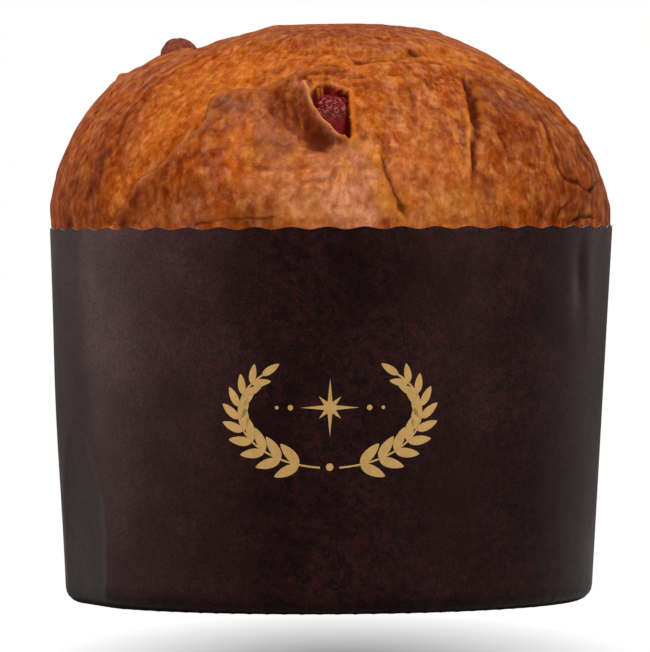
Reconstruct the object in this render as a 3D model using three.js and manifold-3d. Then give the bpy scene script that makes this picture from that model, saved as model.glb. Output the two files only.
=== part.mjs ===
// A tall sweet bread in its paper baking case, standing on the folded foot of the case.
// Units are millimetres. +Z is up, -Y is the front, and the origin is the middle of the underside.
// An azimuth is in degrees round from the front, towards +X.

import * as THREE from 'three';
import { mergeVertices } from 'three/addons/utils/BufferGeometryUtils.js';
import Module from 'manifold-3d';

// Paper case
const CASE_HEIGHT = 112.5;
const RIM_RADIUS = 85;
const WALL_TAPER = 0.05;
const CORNER_HEIGHT = 4.6;
const FOOT_RADIUS = 74;
const FLANGE_WIDTH = 12;
const PAPER = 0.8;
const LEAN = 0.011;

// Waved rim of the case
const SCALLOPS = 50;
const SCALLOP_DEPTH = 1.6;
const SCALLOP_START = -0.6;
const COLUMNS_PER_SCALLOP = 4;

// Flattened place low on the left of the case
const FLAT_AZIMUTH = -68;
const FLAT_HALF_WIDTH = 12;
const FLAT_FULL_HEIGHT = 30;
const FLAT_TOP_HEIGHT = 55;

// Card disc inside the case, resting on the folded flange
const CARD_RADIUS = 73.4;
const CARD = 0.8;
const CARD_SEGMENTS = 72;

// Baked dome above the rim
const DOME_RADIUS = 85;
const DOME_HEIGHT = 62;
const DOME_POWER = 2.12;
const LIP_HEIGHT = 1.4;
const DOME_ROWS = 30;
const LOAF_SEGMENTS = 96;
const RELIEF_START_HEIGHT = 9;

// Clearance between pieces that touch
const GAP = 0.3;

// Fruit that shows in the crust
const CHERRY_RADII = [5, 4.6, 8.8];
const CHERRY_PLACE = [0.9, -67.6, CASE_HEIGHT + 31.4];
const CHERRY_TILT = 16;
const CHERRY_LEAN = 39;
const RAISIN_RADII = [5.6, 5.2, 4.8];
const RAISIN_PLACE = [-45.8, -6, CASE_HEIGHT + 52.8];
const RAISIN_TILT = -15;
const RAISIN_LEAN = 0;

const { degToRad, radToDeg, clamp } = THREE.MathUtils;
const wasm = await Module();
wasm.setup();

// The dome is a superellipse turned about the axis: its radius at a height above the rim.
function domeRadius(height) {
  return DOME_RADIUS * (1 - (height / DOME_HEIGHT) ** DOME_POWER) ** (1 / DOME_POWER);
}

// The point of the plain dome at an azimuth and a height above the rim.
function around(azimuth, height) {
  const turn = degToRad(azimuth);
  const radius = domeRadius(height);
  return new THREE.Vector3(radius * Math.sin(turn), -radius * Math.cos(turn), CASE_HEIGHT + height);
}

// The point on the front of the plain dome at a distance to the right and a height above the rim.
function front(x, height) {
  return around(radToDeg(Math.asin(x / domeRadius(height))), height);
}

// Broad swellings of the crust: rise outwards, and the distance over which it dies away.
const SWELLINGS = [
  { at: around(-88, 43), rise: 2.2, spread: 21 },
  { at: around(-80, 58), rise: -1.4, spread: 12 },
  { at: around(92, 30), rise: -2.2, spread: 24 },
  { at: around(84, 45), rise: -1.7, spread: 13 },
  { at: around(0, 61.5), rise: -0.8, spread: 30 },
  { at: front(-24, 20), rise: 1.8, spread: 20 },
  { at: front(33, 24), rise: 1.4, spread: 13 },
  { at: front(62, 22), rise: 1.6, spread: 14 },
  { at: front(-9.5, 34.5), rise: -4.5, spread: 6.5 },
  { at: front(1.5, 33), rise: -2.6, spread: 6 },
  { at: new THREE.Vector3(...RAISIN_PLACE), rise: 0.8, spread: 7 },
  { at: around(-130, 25), rise: 2, spread: 22 },
  { at: around(140, 28), rise: 2, spread: 24 },
  { at: around(180, 12), rise: 1.2, spread: 16 },
];

// Folds of the crust along a line: raised where the rise is above zero, sunk where it is below.
const FOLDS = [
  // Bare band from the left rim over the front, where the crust tore open as it rose
  { along: [front(-65.6, 2), front(-60.4, 12.8), front(-53, 24.5), front(-44.2, 36.2),
    front(-31, 44.1), front(-17.8, 49.4), front(-3.1, 50.8)], rise: -2.6, width: 6 },
  // The same band on the right
  { along: [front(4.2, 49.9), front(16, 48.6), front(33.9, 52), front(50.4, 46.8),
    front(62.4, 39.3), front(71.3, 30.4), front(77.4, 21.5)], rise: -2, width: 5 },
  // Raised torn edge of the front flap
  { along: [front(-59.5, 2), front(-55.5, 10), front(-47, 18), front(-39.5, 25), front(-33, 31),
    front(-30.5, 36), front(-22, 38.5), front(-12, 41.5), front(-4, 44)], rise: 2, width: 3.6 },
  // Raised edge of the right panel
  { along: [front(43, 42.3), front(52, 39.5), front(60, 34.5), front(66.5, 28.5), front(70.5, 22)],
    rise: 1.4, width: 3.6 },
  // Thin wall between the hollow and the cherry, running down into the centre ridge
  { along: [front(-6.4, 39.8), front(-3.9, 34.1), front(-0.6, 29.5), front(2.6, 26.2), front(8.5, 24),
    front(12.3, 21.2), front(14, 17.2), front(15.9, 10.6), front(17.5, 1.7)], rise: 2.2, width: 2.8 },
  // Crease beside the centre ridge
  { along: [front(15.1, 18.8), front(17.6, 14), front(19.8, 10), front(21.4, 6.1), front(23.4, 1.4)],
    rise: -2.2, width: 2.4 },
  // Deep crease down the right of the front
  { along: [front(40.3, 44.5), front(41.2, 37), front(42.2, 28.5), front(41.4, 22.8), front(40.8, 14)],
    rise: -3, width: 2.8 },
  // Fold above the rim on the left of the front flap
  { along: [front(-45.8, 0.9), front(-35.6, 1.7), front(-23.4, 2.9), front(-15.6, 2.8)],
    rise: -1.8, width: 2.6 },
  // Small folds low on the right
  { along: [front(51, 19.4), front(61.3, 17.5), front(69.5, 13), front(76.2, 11.1), front(80, 12.5)],
    rise: -1.8, width: 2.6 },
  // Bare band down the back, and the creases to each side of it
  { along: [around(170, 59), around(172, 50), around(168, 38), around(163, 24), around(160, 10),
    around(161, 2)], rise: -2.6, width: 6.5 },
  { along: [around(150, 57), around(154, 46), around(152, 34), around(146, 20), around(142, 8)],
    rise: 2, width: 3.6 },
  { along: [around(-110, 52), around(-114, 40), around(-118, 28), around(-116, 14)],
    rise: -2.4, width: 3.2 },
  { along: [around(112, 50), around(108, 38), around(114, 25), around(111, 12)],
    rise: -2.4, width: 3.2 },
];
const FOLD_STEPS = 24;

// Turns a closed profile of [radius, height] points about the vertical axis into a closed mesh.
function turned(profile, segments, start = 0) {
  const points = profile.map(([radius, height]) => new THREE.Vector2(radius, height));
  const lathe = new THREE.LatheGeometry(points, segments, degToRad(start)).rotateX(Math.PI / 2);
  return closed(lathe);
}

// Keeps positions only, joins the vertices that coincide and drops the triangles without area.
function closed(geometry) {
  geometry.deleteAttribute('normal');
  geometry.deleteAttribute('uv');
  const merged = mergeVertices(geometry, 1e-4);
  const old = merged.index.array;
  const kept = [];
  for (let i = 0; i < old.length; i += 3) {
    const [a, b, c] = [old[i], old[i + 1], old[i + 2]];
    if (a !== b && b !== c && c !== a) {
      kept.push(a, b, c);
    }
  }
  merged.setIndex(kept);
  return merged;
}

// Moves every vertex of a geometry by a function that changes the point it is given.
function reshape(geometry, change) {
  const position = geometry.attributes.position;
  const point = new THREE.Vector3();
  for (let i = 0; i < position.count; i += 1) {
    point.fromBufferAttribute(position, i);
    change(point);
    position.setXYZ(i, point.x, point.y, point.z);
  }
  return geometry;
}

function azimuthOf(point) {
  return radToDeg(Math.atan2(point.x, -point.y));
}

// The outer radius of the plain wall at a height above the ground.
function wallRadius(height) {
  return RIM_RADIUS - WALL_TAPER * (CASE_HEIGHT - height);
}

// The inner radius of the case, with the slanted corner at its foot.
function insideRadius(height) {
  const cornerRadius = wallRadius(CORNER_HEIGHT);
  const slope = (cornerRadius - FOOT_RADIUS) / CORNER_HEIGHT;
  const thicknessAcross = PAPER * Math.hypot(1, slope);
  const cornerLine = FOOT_RADIUS + slope * height - thicknessAcross;
  return Math.min(cornerLine, wallRadius(height) - PAPER);
}

// How far the flattened place pulls the wall in: a flat chord that fades out upwards.
function flatDepth(point) {
  const turn = Math.abs(azimuthOf(point) - FLAT_AZIMUTH);
  if (turn >= FLAT_HALF_WIDTH) {
    return 0;
  }
  const chord = 1 - Math.cos(degToRad(FLAT_HALF_WIDTH)) / Math.cos(degToRad(turn));
  const fade = clamp((FLAT_TOP_HEIGHT - point.z) / (FLAT_TOP_HEIGHT - FLAT_FULL_HEIGHT), 0, 1);
  return RIM_RADIUS * chord * fade;
}

// The case leans a little to the left at its foot and is pressed flat low on the left.
function settle(point) {
  const radius = Math.hypot(point.x, point.y);
  const innerEdge = FOOT_RADIUS - FLANGE_WIDTH;
  if (radius > innerEdge + 1) {
    const scale = (radius - flatDepth(point)) / radius;
    point.x *= scale;
    point.y *= scale;
  }
  point.x += LEAN * Math.min(point.z - CASE_HEIGHT, 0);
}

// The wall and its folded flange are one sheet of paper, closed round its own thickness.
function makeCaseWall() {
  const cornerRadius = wallRadius(CORNER_HEIGHT);
  const innerCorner = CORNER_HEIGHT + PAPER / 2;
  const profile = [
    [FOOT_RADIUS - FLANGE_WIDTH, 0],
    [FOOT_RADIUS, 0],
    [cornerRadius, CORNER_HEIGHT],
    [wallRadius(FLAT_FULL_HEIGHT), FLAT_FULL_HEIGHT],
    [wallRadius(FLAT_TOP_HEIGHT), FLAT_TOP_HEIGHT],
    [RIM_RADIUS, CASE_HEIGHT],
    [RIM_RADIUS - PAPER, CASE_HEIGHT],
    [wallRadius(FLAT_TOP_HEIGHT) - PAPER, FLAT_TOP_HEIGHT],
    [wallRadius(FLAT_FULL_HEIGHT) - PAPER, FLAT_FULL_HEIGHT],
    [insideRadius(innerCorner), innerCorner],
    [insideRadius(PAPER), PAPER],
    [FOOT_RADIUS - FLANGE_WIDTH, PAPER],
    [FOOT_RADIUS - FLANGE_WIDTH, 0],
  ];
  const wall = turned(profile, SCALLOPS * COLUMNS_PER_SCALLOP, SCALLOP_START);
  return reshape(wall, (point) => {
    if (point.z > CASE_HEIGHT - 1) {
      const wave = Math.cos(SCALLOPS * degToRad(azimuthOf(point) - SCALLOP_START));
      point.z += (SCALLOP_DEPTH / 2) * wave;
    }
    settle(point);
  });
}

function makeCaseBase() {
  const under = PAPER + GAP;
  const disc = turned([[0, under], [CARD_RADIUS, under], [CARD_RADIUS, under + CARD], [0, under + CARD]],
    CARD_SEGMENTS);
  return reshape(disc, settle);
}

// Distance from a point to a line of points.
function distanceToLine(point, line) {
  const nearest = new THREE.Vector3();
  let least = Infinity;
  for (let i = 1; i < line.length; i += 1) {
    new THREE.Line3(line[i - 1], line[i]).closestPointToPoint(point, true, nearest);
    least = Math.min(least, nearest.distanceTo(point));
  }
  return least;
}

function bell(distance, width) {
  return Math.exp(-((distance / width) ** 2));
}

const foldLines = FOLDS.map(({ along }) => new THREE.CatmullRomCurve3(along).getPoints(FOLD_STEPS));

// How far the crust stands out from the plain dome at a point of it.
function crustRelief(point) {
  let relief = 0;
  for (const { at, rise, spread } of SWELLINGS) {
    relief += rise * bell(point.distanceTo(at), spread);
  }
  FOLDS.forEach(({ rise, width }, i) => {
    relief += rise * bell(distanceToLine(point, foldLines[i]), width);
  });
  return relief;
}

// The outward direction of the plain dome.
function domeNormal(point) {
  const height = point.z - CASE_HEIGHT;
  const radius = Math.hypot(point.x, point.y);
  const outwards = (radius / DOME_RADIUS) ** (DOME_POWER - 1) / DOME_RADIUS;
  const upwards = (height / DOME_HEIGHT) ** (DOME_POWER - 1) / DOME_HEIGHT;
  const normal = new THREE.Vector3(0, 0, upwards);
  if (radius > 0) {
    normal.x = (outwards * point.x) / radius;
    normal.y = (outwards * point.y) / radius;
  }
  return normal.normalize();
}

// The loaf fills the case, rests on the card disc and overhangs the paper's edge by its thickness.
function makeLoafBody() {
  const bottom = PAPER + GAP + CARD + GAP;
  const corner = CORNER_HEIGHT + PAPER;
  const rimTop = CASE_HEIGHT + SCALLOP_DEPTH / 2 + GAP;
  const profile = [[0, bottom]];
  for (const height of [bottom, corner, FLAT_FULL_HEIGHT, FLAT_TOP_HEIGHT, CASE_HEIGHT]) {
    profile.push([insideRadius(height) - GAP, height]);
  }
  profile.push([insideRadius(CASE_HEIGHT) - GAP, rimTop]);
  const firstAngle = Math.asin(LIP_HEIGHT / DOME_HEIGHT);
  for (let row = 0; row < DOME_ROWS; row += 1) {
    const angle = firstAngle + ((Math.PI / 2 - firstAngle) * row) / DOME_ROWS;
    const height = DOME_HEIGHT * Math.sin(angle);
    profile.push([domeRadius(height), CASE_HEIGHT + height]);
  }
  profile.push([0, CASE_HEIGHT + DOME_HEIGHT]);
  return reshape(turned(profile, LOAF_SEGMENTS), (point) => {
    const height = point.z - CASE_HEIGHT;
    if (height > LIP_HEIGHT / 2) {
      const fade = clamp((height - LIP_HEIGHT) / RELIEF_START_HEIGHT, 0, 1);
      point.addScaledVector(domeNormal(point), crustRelief(point) * fade);
    } else {
      settle(point);
    }
  });
}

// A rounded fruit, a little pinched below and swollen to one side. The clearance makes its socket.
function makeFruit(radii, place, tilt, lean, clearance) {
  const [a, b, c] = radii.map((radius) => radius + clearance);
  const fruit = closed(new THREE.SphereGeometry(1, 18, 12));
  reshape(fruit, (point) => {
    const swell = 1 + 0.06 * Math.cos(2 * Math.atan2(point.y, point.x) + 1);
    const pinch = 1 + 0.14 * point.z;
    point.set(point.x * a * swell * pinch, point.y * b * swell * pinch, point.z * c);
  });
  return fruit.rotateY(degToRad(-tilt)).rotateX(degToRad(-lean)).translate(...place);
}

function toSolid(geometry) {
  const vertProperties = new Float32Array(geometry.attributes.position.array);
  const triVerts = new Uint32Array(geometry.index.array);
  return new wasm.Manifold(new wasm.Mesh({ numProp: 3, vertProperties, triVerts }));
}

function toGeometry(solid) {
  const { vertProperties, triVerts } = solid.getMesh();
  const geometry = new THREE.BufferGeometry();
  geometry.setAttribute('position', new THREE.BufferAttribute(vertProperties, 3));
  geometry.setIndex(new THREE.BufferAttribute(triVerts, 1));
  return geometry;
}

function makeLoaf() {
  const cherrySocket = toSolid(makeFruit(CHERRY_RADII, CHERRY_PLACE, CHERRY_TILT, CHERRY_LEAN, GAP));
  const raisinSocket = toSolid(makeFruit(RAISIN_RADII, RAISIN_PLACE, RAISIN_TILT, RAISIN_LEAN, GAP));
  return toGeometry(toSolid(makeLoafBody()).subtract(cherrySocket).subtract(raisinSocket));
}

const printedPaper = new THREE.MeshStandardMaterial({ color: 0x2f1c1b, roughness: 0.5, metalness: 0 });
const card = new THREE.MeshStandardMaterial({ color: 0x6a4a35, roughness: 0.9, metalness: 0 });
const crust = new THREE.MeshStandardMaterial({ color: 0xb26031, roughness: 0.55, metalness: 0 });
const candiedCherry = new THREE.MeshStandardMaterial({ color: 0x77251a, roughness: 0.2, metalness: 0 });
const driedFruit = new THREE.MeshStandardMaterial({ color: 0x6b2f22, roughness: 0.5, metalness: 0 });

const bread = new THREE.Group();

function addPiece(name, geometry, material) {
  geometry.computeVertexNormals();
  const mesh = new THREE.Mesh(geometry, material);
  mesh.name = name;
  bread.add(mesh);
}

addPiece('case_wall', makeCaseWall(), printedPaper);
addPiece('case_base', makeCaseBase(), card);
addPiece('loaf', makeLoaf(), crust);
addPiece('cherry', makeFruit(CHERRY_RADII, CHERRY_PLACE, CHERRY_TILT, CHERRY_LEAN, 0), candiedCherry);
addPiece('raisin', makeFruit(RAISIN_RADII, RAISIN_PLACE, RAISIN_TILT, RAISIN_LEAN, 0), driedFruit);

export default bread;
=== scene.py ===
"""A tall sweet bread in its paper baking case, dressed for a studio picture."""

import math

import bmesh
import bpy
import numpy as np
from bpy.props import FloatProperty, FloatVectorProperty, IntProperty, PointerProperty
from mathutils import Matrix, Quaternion, Vector, noise


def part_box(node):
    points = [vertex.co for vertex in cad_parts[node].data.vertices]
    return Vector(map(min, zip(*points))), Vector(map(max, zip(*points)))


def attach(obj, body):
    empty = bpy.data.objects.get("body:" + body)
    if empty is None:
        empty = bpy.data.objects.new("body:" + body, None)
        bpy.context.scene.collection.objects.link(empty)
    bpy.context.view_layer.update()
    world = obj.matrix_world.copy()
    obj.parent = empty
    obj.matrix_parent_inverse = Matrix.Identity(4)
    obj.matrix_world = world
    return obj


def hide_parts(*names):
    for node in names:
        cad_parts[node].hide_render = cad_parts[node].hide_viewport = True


bl_info = {
    "name": "Sweet bread in a paper case",
    "version": (1, 0, 0),
    "blender": (4, 5, 0),
    "location": "View3D > Sidebar > Bread",
    "description": "Builds a domed sweet bread with folded crust, its fruit and its paper baking case",
    "category": "Object",
}

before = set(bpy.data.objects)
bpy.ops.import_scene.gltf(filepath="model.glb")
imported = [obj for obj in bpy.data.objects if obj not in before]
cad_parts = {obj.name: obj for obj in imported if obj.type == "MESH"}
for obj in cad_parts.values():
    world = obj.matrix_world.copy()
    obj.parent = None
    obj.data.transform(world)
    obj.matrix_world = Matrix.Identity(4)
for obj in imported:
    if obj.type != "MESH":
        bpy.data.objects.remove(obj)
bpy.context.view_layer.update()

MM = 0.001
CASE_LOW, CASE_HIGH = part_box("case_wall")
CARD_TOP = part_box("case_base")[1].z
LOAF_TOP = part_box("loaf")[1].z
CHERRY_LOW, CHERRY_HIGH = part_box("cherry")
RAISIN_LOW, RAISIN_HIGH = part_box("raisin")

# Case, in metres
# The waves of the solid's rim, and those of the paper made here
SCALLOP_DEPTH = 1.6 * MM
WAVE_DEPTH = 0.8 * MM
SCALLOP_START = math.radians(-0.6)
RIM_RADIUS = (CASE_HIGH.x - CASE_LOW.x) / 2
RIM_HEIGHT = CASE_HIGH.z - SCALLOP_DEPTH / 2
WALL_TAPER = 0.05
CORNER_HEIGHT = 4.6 * MM
FOOT_RADIUS = 74.8 * MM
FLANGE_RADIUS = 62 * MM
# How far the foot stands to the left, as a share of the height
LEAN = 0.011
FLAT_AZIMUTH = math.radians(-68)
FLAT_HALF_WIDTH = math.radians(12)
FLAT_FULL_HEIGHT = 30 * MM
FLAT_TOP_HEIGHT = 55 * MM

# Dome, in millimetres, with heights above the rim
DOME_RADIUS = RIM_RADIUS / MM
DOME_HEIGHT = 62.0
DOME_POWER = 2.12
RIM_CLEARANCE = 0.45
LINE_STEPS = 10
# How many pairs of a point and a step of a line are measured at once, which keeps memory low
PAIRS_AT_ONCE = 2_000_000
# How far a point stands off its surroundings where the painted shade of a fold or the painted highlight of a
# crest is at full strength
CURVE_RANGE = 0.22
SEED = Vector((3.7, 1.9, 8.2))
# The noise behind the bends of the folds starts from the clock unless it is given a number
BEND_SEED = 3

# Studio, in metres, with the picture's width in pixels and the sensor's in millimetres
FRAME_WIDTH = 650
METRES_PER_PIXEL = 0.3025 * MM
SENSOR = 36
EYE_HEIGHT = 0.1128
LOOKED_AT = Vector((-0.002, 0, 0.0828))
CAMERA_ROLL = -0.005


def dome_radius(height):
    """Radius of the plain dome, in millimetres, at a height above the rim."""
    return DOME_RADIUS * (1 - (height / DOME_HEIGHT) ** DOME_POWER) ** (1 / DOME_POWER)


def around(*places):
    """Points of the plain dome at (azimuth in degrees from the front towards +X, height)."""
    made = []
    for azimuth, height in places:
        radius, turn = dome_radius(height), math.radians(azimuth)
        made.append((radius * math.sin(turn), -radius * math.cos(turn), height))
    return np.array(made)


def front(*places):
    """Points on the front of the plain dome at (distance to the right, height)."""
    turns = [math.degrees(math.asin(x / dome_radius(height))) for x, height in places]
    return around(*[(turn, height) for turn, (_, height) in zip(turns, places)])


def smoothstep(low, high, value):
    """0 up to low and 1 from high on, with a smooth rise between them."""
    share = np.clip((value - low) / (high - low), 0, 1)
    return share * share * (3 - 2 * share)


def bell(distance, width):
    """1 at no distance, falling smoothly to about a third at the width."""
    return np.exp(-((distance / width) ** 2))


def smooth_line(points, steps=LINE_STEPS):
    """A Catmull-Rom curve through points, as a finer line of points."""
    ends = np.vstack([2 * points[0] - points[1], points, 2 * points[-1] - points[-2]])
    made = []
    for a, b, c, d in zip(ends, ends[1:], ends[2:], ends[3:]):
        for t in np.arange(steps) / steps:
            made.append(0.5 * (2 * b + (c - a) * t + (2 * a - 5 * b + 4 * c - d) * t**2
                               + (3 * b - a - 3 * c + d) * t**3))
    made.append(points[-1])
    return np.array(made)


class Crust:
    """The points of the plain dome and what is laid on them, in millimetres."""

    # crease and seam_depth hold painted shade, grey a painted sheen, pale partly painted highlights, and
    # pocket_shade a dark red painted shade inside the cherry's pocket
    MASKS = ("bare", "toast", "crease", "pale", "grey", "gold", "pocket_shade", "fanned", "seam_depth")
    SEAM_REACH = 3.0

    def __init__(self, point, normal):
        self.point, self.normal = point, normal
        self.lift = np.zeros(len(point))
        self.slide = np.zeros_like(point)
        self.masks = {name: np.zeros(len(point)) for name in self.MASKS}
        noise.seed_set(BEND_SEED)
        self.bent = point + 1.1 * self.noise_vectors(11.0) + 0.5 * self.noise_vectors(3.2)
        self.rough = self.noise_values(6.0)
        self.ragged = self.noise_values(2.4)
        self.patchy = self.noise_values(19.0, 1)
        radius = np.hypot(point[:, 0], point[:, 1])
        spread = 60 / np.maximum(radius, 35)
        up = (point[:, 2] + DOME_RADIUS - radius) / 2.6
        self.grain = np.column_stack([spread * self.bent[:, 0], spread * self.bent[:, 1], up])
        self.fan = np.zeros_like(point)
        self.torn = np.zeros(len(point))
        self.seam = np.full(len(point), self.SEAM_REACH)

    def noise_vectors(self, size):
        """A smooth random vector at each point, with waves of about this size."""
        return np.array([noise.noise_vector(Vector(p) / size + SEED) for p in self.point])

    def noise_values(self, size, octaves=2, places=None):
        """Smooth random values from about -1 to 1 at each point."""
        places = (self.point if places is None else places) / size
        return np.array([noise.fractal(Vector(p) + SEED, 1.0, 2.0, octaves) for p in places])

    def upright(self, stretch):
        """Places squeezed upwards, so that noise in them runs in upright streaks on the sides."""
        return self.bent / (1, 1, stretch)

    def trace(self, path, reach):
        """The points within reach of a line: their numbers, their distance from it, the signed
        distance (positive on the right of the way along it) and the share of the way along."""
        line = smooth_line(path)
        middle = (line.max(0) + line.min(0)) / 2
        span = np.linalg.norm(line - middle, axis=1).max() + reach
        near = np.flatnonzero(np.linalg.norm(self.bent - middle, axis=1) < span)
        start, step = line[:-1], np.diff(line, axis=0)
        length_squared = (step**2).sum(1)
        found = []
        for part in np.array_split(near, max(1, len(near) * len(step) // PAIRS_AT_ONCE)):
            offset = self.bent[part][:, None] - start[None]
            share = np.clip((offset * step).sum(2) / length_squared, 0, 1)
            gap = offset - share[..., None] * step
            distance = np.linalg.norm(gap, axis=2)
            best = distance.argmin(1)
            rows = np.arange(len(part))
            side = np.einsum("ij,ij->i", np.cross(step[best], self.normal[part]), gap[rows, best])
            distance = distance[rows, best]
            along = (best + share[rows, best]) / len(step)
            found.append(np.column_stack([part, distance, np.sign(side) * distance, along]))
        found = np.vstack(found)
        found = found[found[:, 1] < reach]
        return found[:, 0].astype(int), found[:, 1], found[:, 2], found[:, 3]

    def paint(self, mask, which, amount):
        """Marks points in a mask, where they aren't marked more already."""
        self.masks[mask][which] = np.maximum(self.masks[mask][which], amount)

    def strength(self, which, along, taper, uneven=0.7):
        """How strong a feature is along its line: nothing at its ends and uneven between them."""
        ends = smoothstep(0, taper, along) * smoothstep(0, taper, 1 - along)
        return ends * np.clip(1 - 0.2 * uneven + uneven * self.rough[which], 0.25, 1.4)

    def crease(self, path, depth, width, lips=0.12, dark=1.0, taper=0.2, uneven=0.7):
        """A sharp groove between two soft lips, darkened with painted shade and a painted dark line along
        its bottom.
        """
        which, distance, side, along = self.trace(path, max(width * 6, self.SEAM_REACH))
        strength = self.strength(which, along, taper, uneven)
        nearest = distance < np.abs(self.seam[which])
        self.seam[which[nearest]] = side[nearest]
        # Painted shade line along the bottom of the groove, drawn in the shader from the seam
        line = np.clip(1.2 * dark**2 * strength, 0, 1) * (1 - smoothstep(1.4, 2.4, distance))
        self.masks["seam_depth"][which[nearest]] = line[nearest]
        width = width * (0.55 + 0.45 * strength)
        self.lift[which] -= depth * strength * np.exp(-((distance / width) ** 1.4))
        self.lift[which] += lips * depth * strength * bell(side - 2.6 * width, 1.8 * width)
        self.lift[which] += 0.5 * lips * depth * strength * bell(side + 3.2 * width, 2.4 * width)
        # Painted shade in the groove
        self.paint("crease", which, np.clip(dark * strength, 0, 1) * bell(distance, 1.1 * width))

    def ridge(self, path, rise, width, amount=0.0, mask="pale", taper=0.2):
        """A rounded ridge, painted along its top; where that paint is pale it is partly pale crust and
        partly a painted highlight.
        """
        which, distance, _, along = self.trace(path, width * 3)
        strength = self.strength(which, along, taper)
        self.lift[which] += rise * strength * bell(distance, width)
        self.paint(mask, which, np.clip(amount * strength, 0, 1) * bell(distance, 0.9 * width))

    def ledge(self, path, rise, back, overhang=0.0, toast=0.6, toast_reach=7.0, grey=0.0, grey_reach=1.3,
              sharp=0.6, taper=0.06, start=1.0):
        """A torn edge: the crust on the right of the way along it stands over what is on the left. The grey
        near the edge is a painted sheen, and the shade under the overhang is painted.
        """
        which, _, side, along = self.trace(path, max(back, toast_reach) * 2.2)
        strength = self.strength(which, along, taper)
        ahead = np.maximum(side, 0)
        rise = rise * np.interp(along, [0, 0.35, 1], [start, 1, 1])
        self.lift[which] += (rise * strength * smoothstep(-sharp, sharp, side + 0.4 * self.ragged[which])
                             * np.exp(-((ahead / back) ** 1.5)))
        pull = overhang * strength * bell(side - 0.2, 1.1)
        way = np.gradient(smooth_line(path), axis=0)
        way = way[np.minimum((along * len(way)).astype(int), len(way) - 1)]
        left = np.cross(self.normal[which], way)
        left /= np.linalg.norm(left, axis=1)[:, None]
        self.slide[which] += pull[:, None] * left
        inside = smoothstep(-0.5, 0.7, side)
        self.paint("toast", which, np.clip(toast * strength * inside * bell(ahead, toast_reach), 0, 1))
        # Purple-grey painted sheen along the edge
        painted_sheen = np.clip(grey * strength, 0, 1) * bell(side - 0.6 * grey_reach, grey_reach)
        self.paint("grey", which, painted_sheen)
        # Painted shadow under the overhang
        self.paint("crease", which, 0.7 * np.clip(strength, 0, 1) * overhang * bell(side + 0.8, 0.8))

    def wrinkles(self, places, weight, height, dark):
        """Fine wrinkles where the weight is, following the noise in the given places, with painted shade in
        their grooves.
        """
        value = self.noise_values(1.0, 3, places)
        groove = np.exp(-((value / 0.12) ** 2))
        weight = weight * smoothstep(-0.25, 0.45, self.patchy)
        self.lift += weight * height * (np.abs(value) - 0.25 - 0.4 * groove)
        # Painted shade in the wrinkles' grooves
        self.masks["crease"] = np.maximum(self.masks["crease"], dark * weight * groove)

    def swelling(self, place, rise, spread):
        """A broad bump round a place, or a dip if its rise is below zero."""
        self.lift += rise * bell(np.linalg.norm(self.point - place, axis=1), spread)

    def pit(self, place, depth, width):
        """A small pit, darkened with painted shade."""
        distance = np.linalg.norm(self.bent - place, axis=1)
        self.lift -= depth * bell(distance, width)
        self.masks["crease"] = np.maximum(self.masks["crease"], 0.9 * bell(distance, width))

    def stain(self, mask, place, spread, amount):
        """A ragged patch, a little taller than wide."""
        distance = np.linalg.norm((self.bent - place) / (1, 1, 1.3), axis=1)
        distance *= 1 + 0.3 * self.rough + 0.2 * self.ragged
        self.masks[mask] = np.maximum(self.masks[mask], amount * bell(distance, spread))

    def stain_front(self, mask, *places):
        """Patches on the front, each given by its place to the right, height, spread and amount."""
        for x, height, spread, amount in places:
            self.stain(mask, front((x, height))[0], spread, amount)

    def inside(self, outline, soft):
        """How far each point on the front lies inside an outline given by front places, from 0 to 1."""
        ring = np.vstack([outline, outline[:1]])
        x, z = self.bent[:, 0], self.bent[:, 2]
        within = np.zeros(len(x), bool)
        for (x0, _, z0), (x1, _, z1) in zip(ring, ring[1:]):
            if z0 != z1:
                crosses = (z0 > z) != (z1 > z)
                within ^= crosses & (x < (x1 - x0) * (z - z0) / (z1 - z0) + x0)
        within &= self.point[:, 1] < 0
        amount = within.astype(float)
        for a, b in zip(ring, ring[1:]):
            which, distance, _, _ = self.trace(np.array([a, b]), soft)
            sign = np.where(within[which], 1, -1)
            amount_here = smoothstep(-soft, soft, sign * distance)
            amount[which] = np.where(sign > 0, np.minimum(amount[which], amount_here),
                                     np.maximum(amount[which], amount_here))
        return amount


# The torn edge of the front flap, from the left rim up to the middle
FLAP_EDGE = front((-63.4, 0.2), (-60.6, 6.5), (-57.2, 13.2), (-50.3, 18.8), (-43, 24.3), (-37.4, 29.3),
                  (-35.5, 31.5), (-34.9, 36.6), (-32.6, 38.8), (-29.1, 39.6), (-26.3, 39.3), (-21.8, 40.7),
                  (-17.9, 41.7), (-12.3, 43.8), (-5.6, 46.1), (2.7, 47.2))
# The upper edge of the bare band, from the left rim over to the right
BAND_UPPER = front((-69, 0.2), (-65.3, 8.7), (-64.1, 16.1), (-61.7, 20.5), (-60.6, 24), (-57.9, 29),
                   (-55.4, 35.3), (-51.9, 40), (-48.5, 44.5), (-41.7, 48.1), (-32.5, 52.4), (-20.9, 54.7),
                   (-12, 54.7), (-1.3, 54.3), (3.7, 54.9), (11.6, 53), (19.6, 51.8))
# The dark upper edge of the right panel
PANEL_EDGE = front((72.8, 20.9), (70, 26), (66.6, 30.5), (62, 35.1), (58, 37.9), (53.5, 40.7), (47.7, 43.2),
                   (43.7, 44.3), (40, 45))
BAND_RIGHT = front((20, 49.6), (26, 50.6), (33.1, 50.8), (42, 48.4), (51, 44.5), (60.5, 38.5), (69, 30.5),
                   (76.7, 21))
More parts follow.
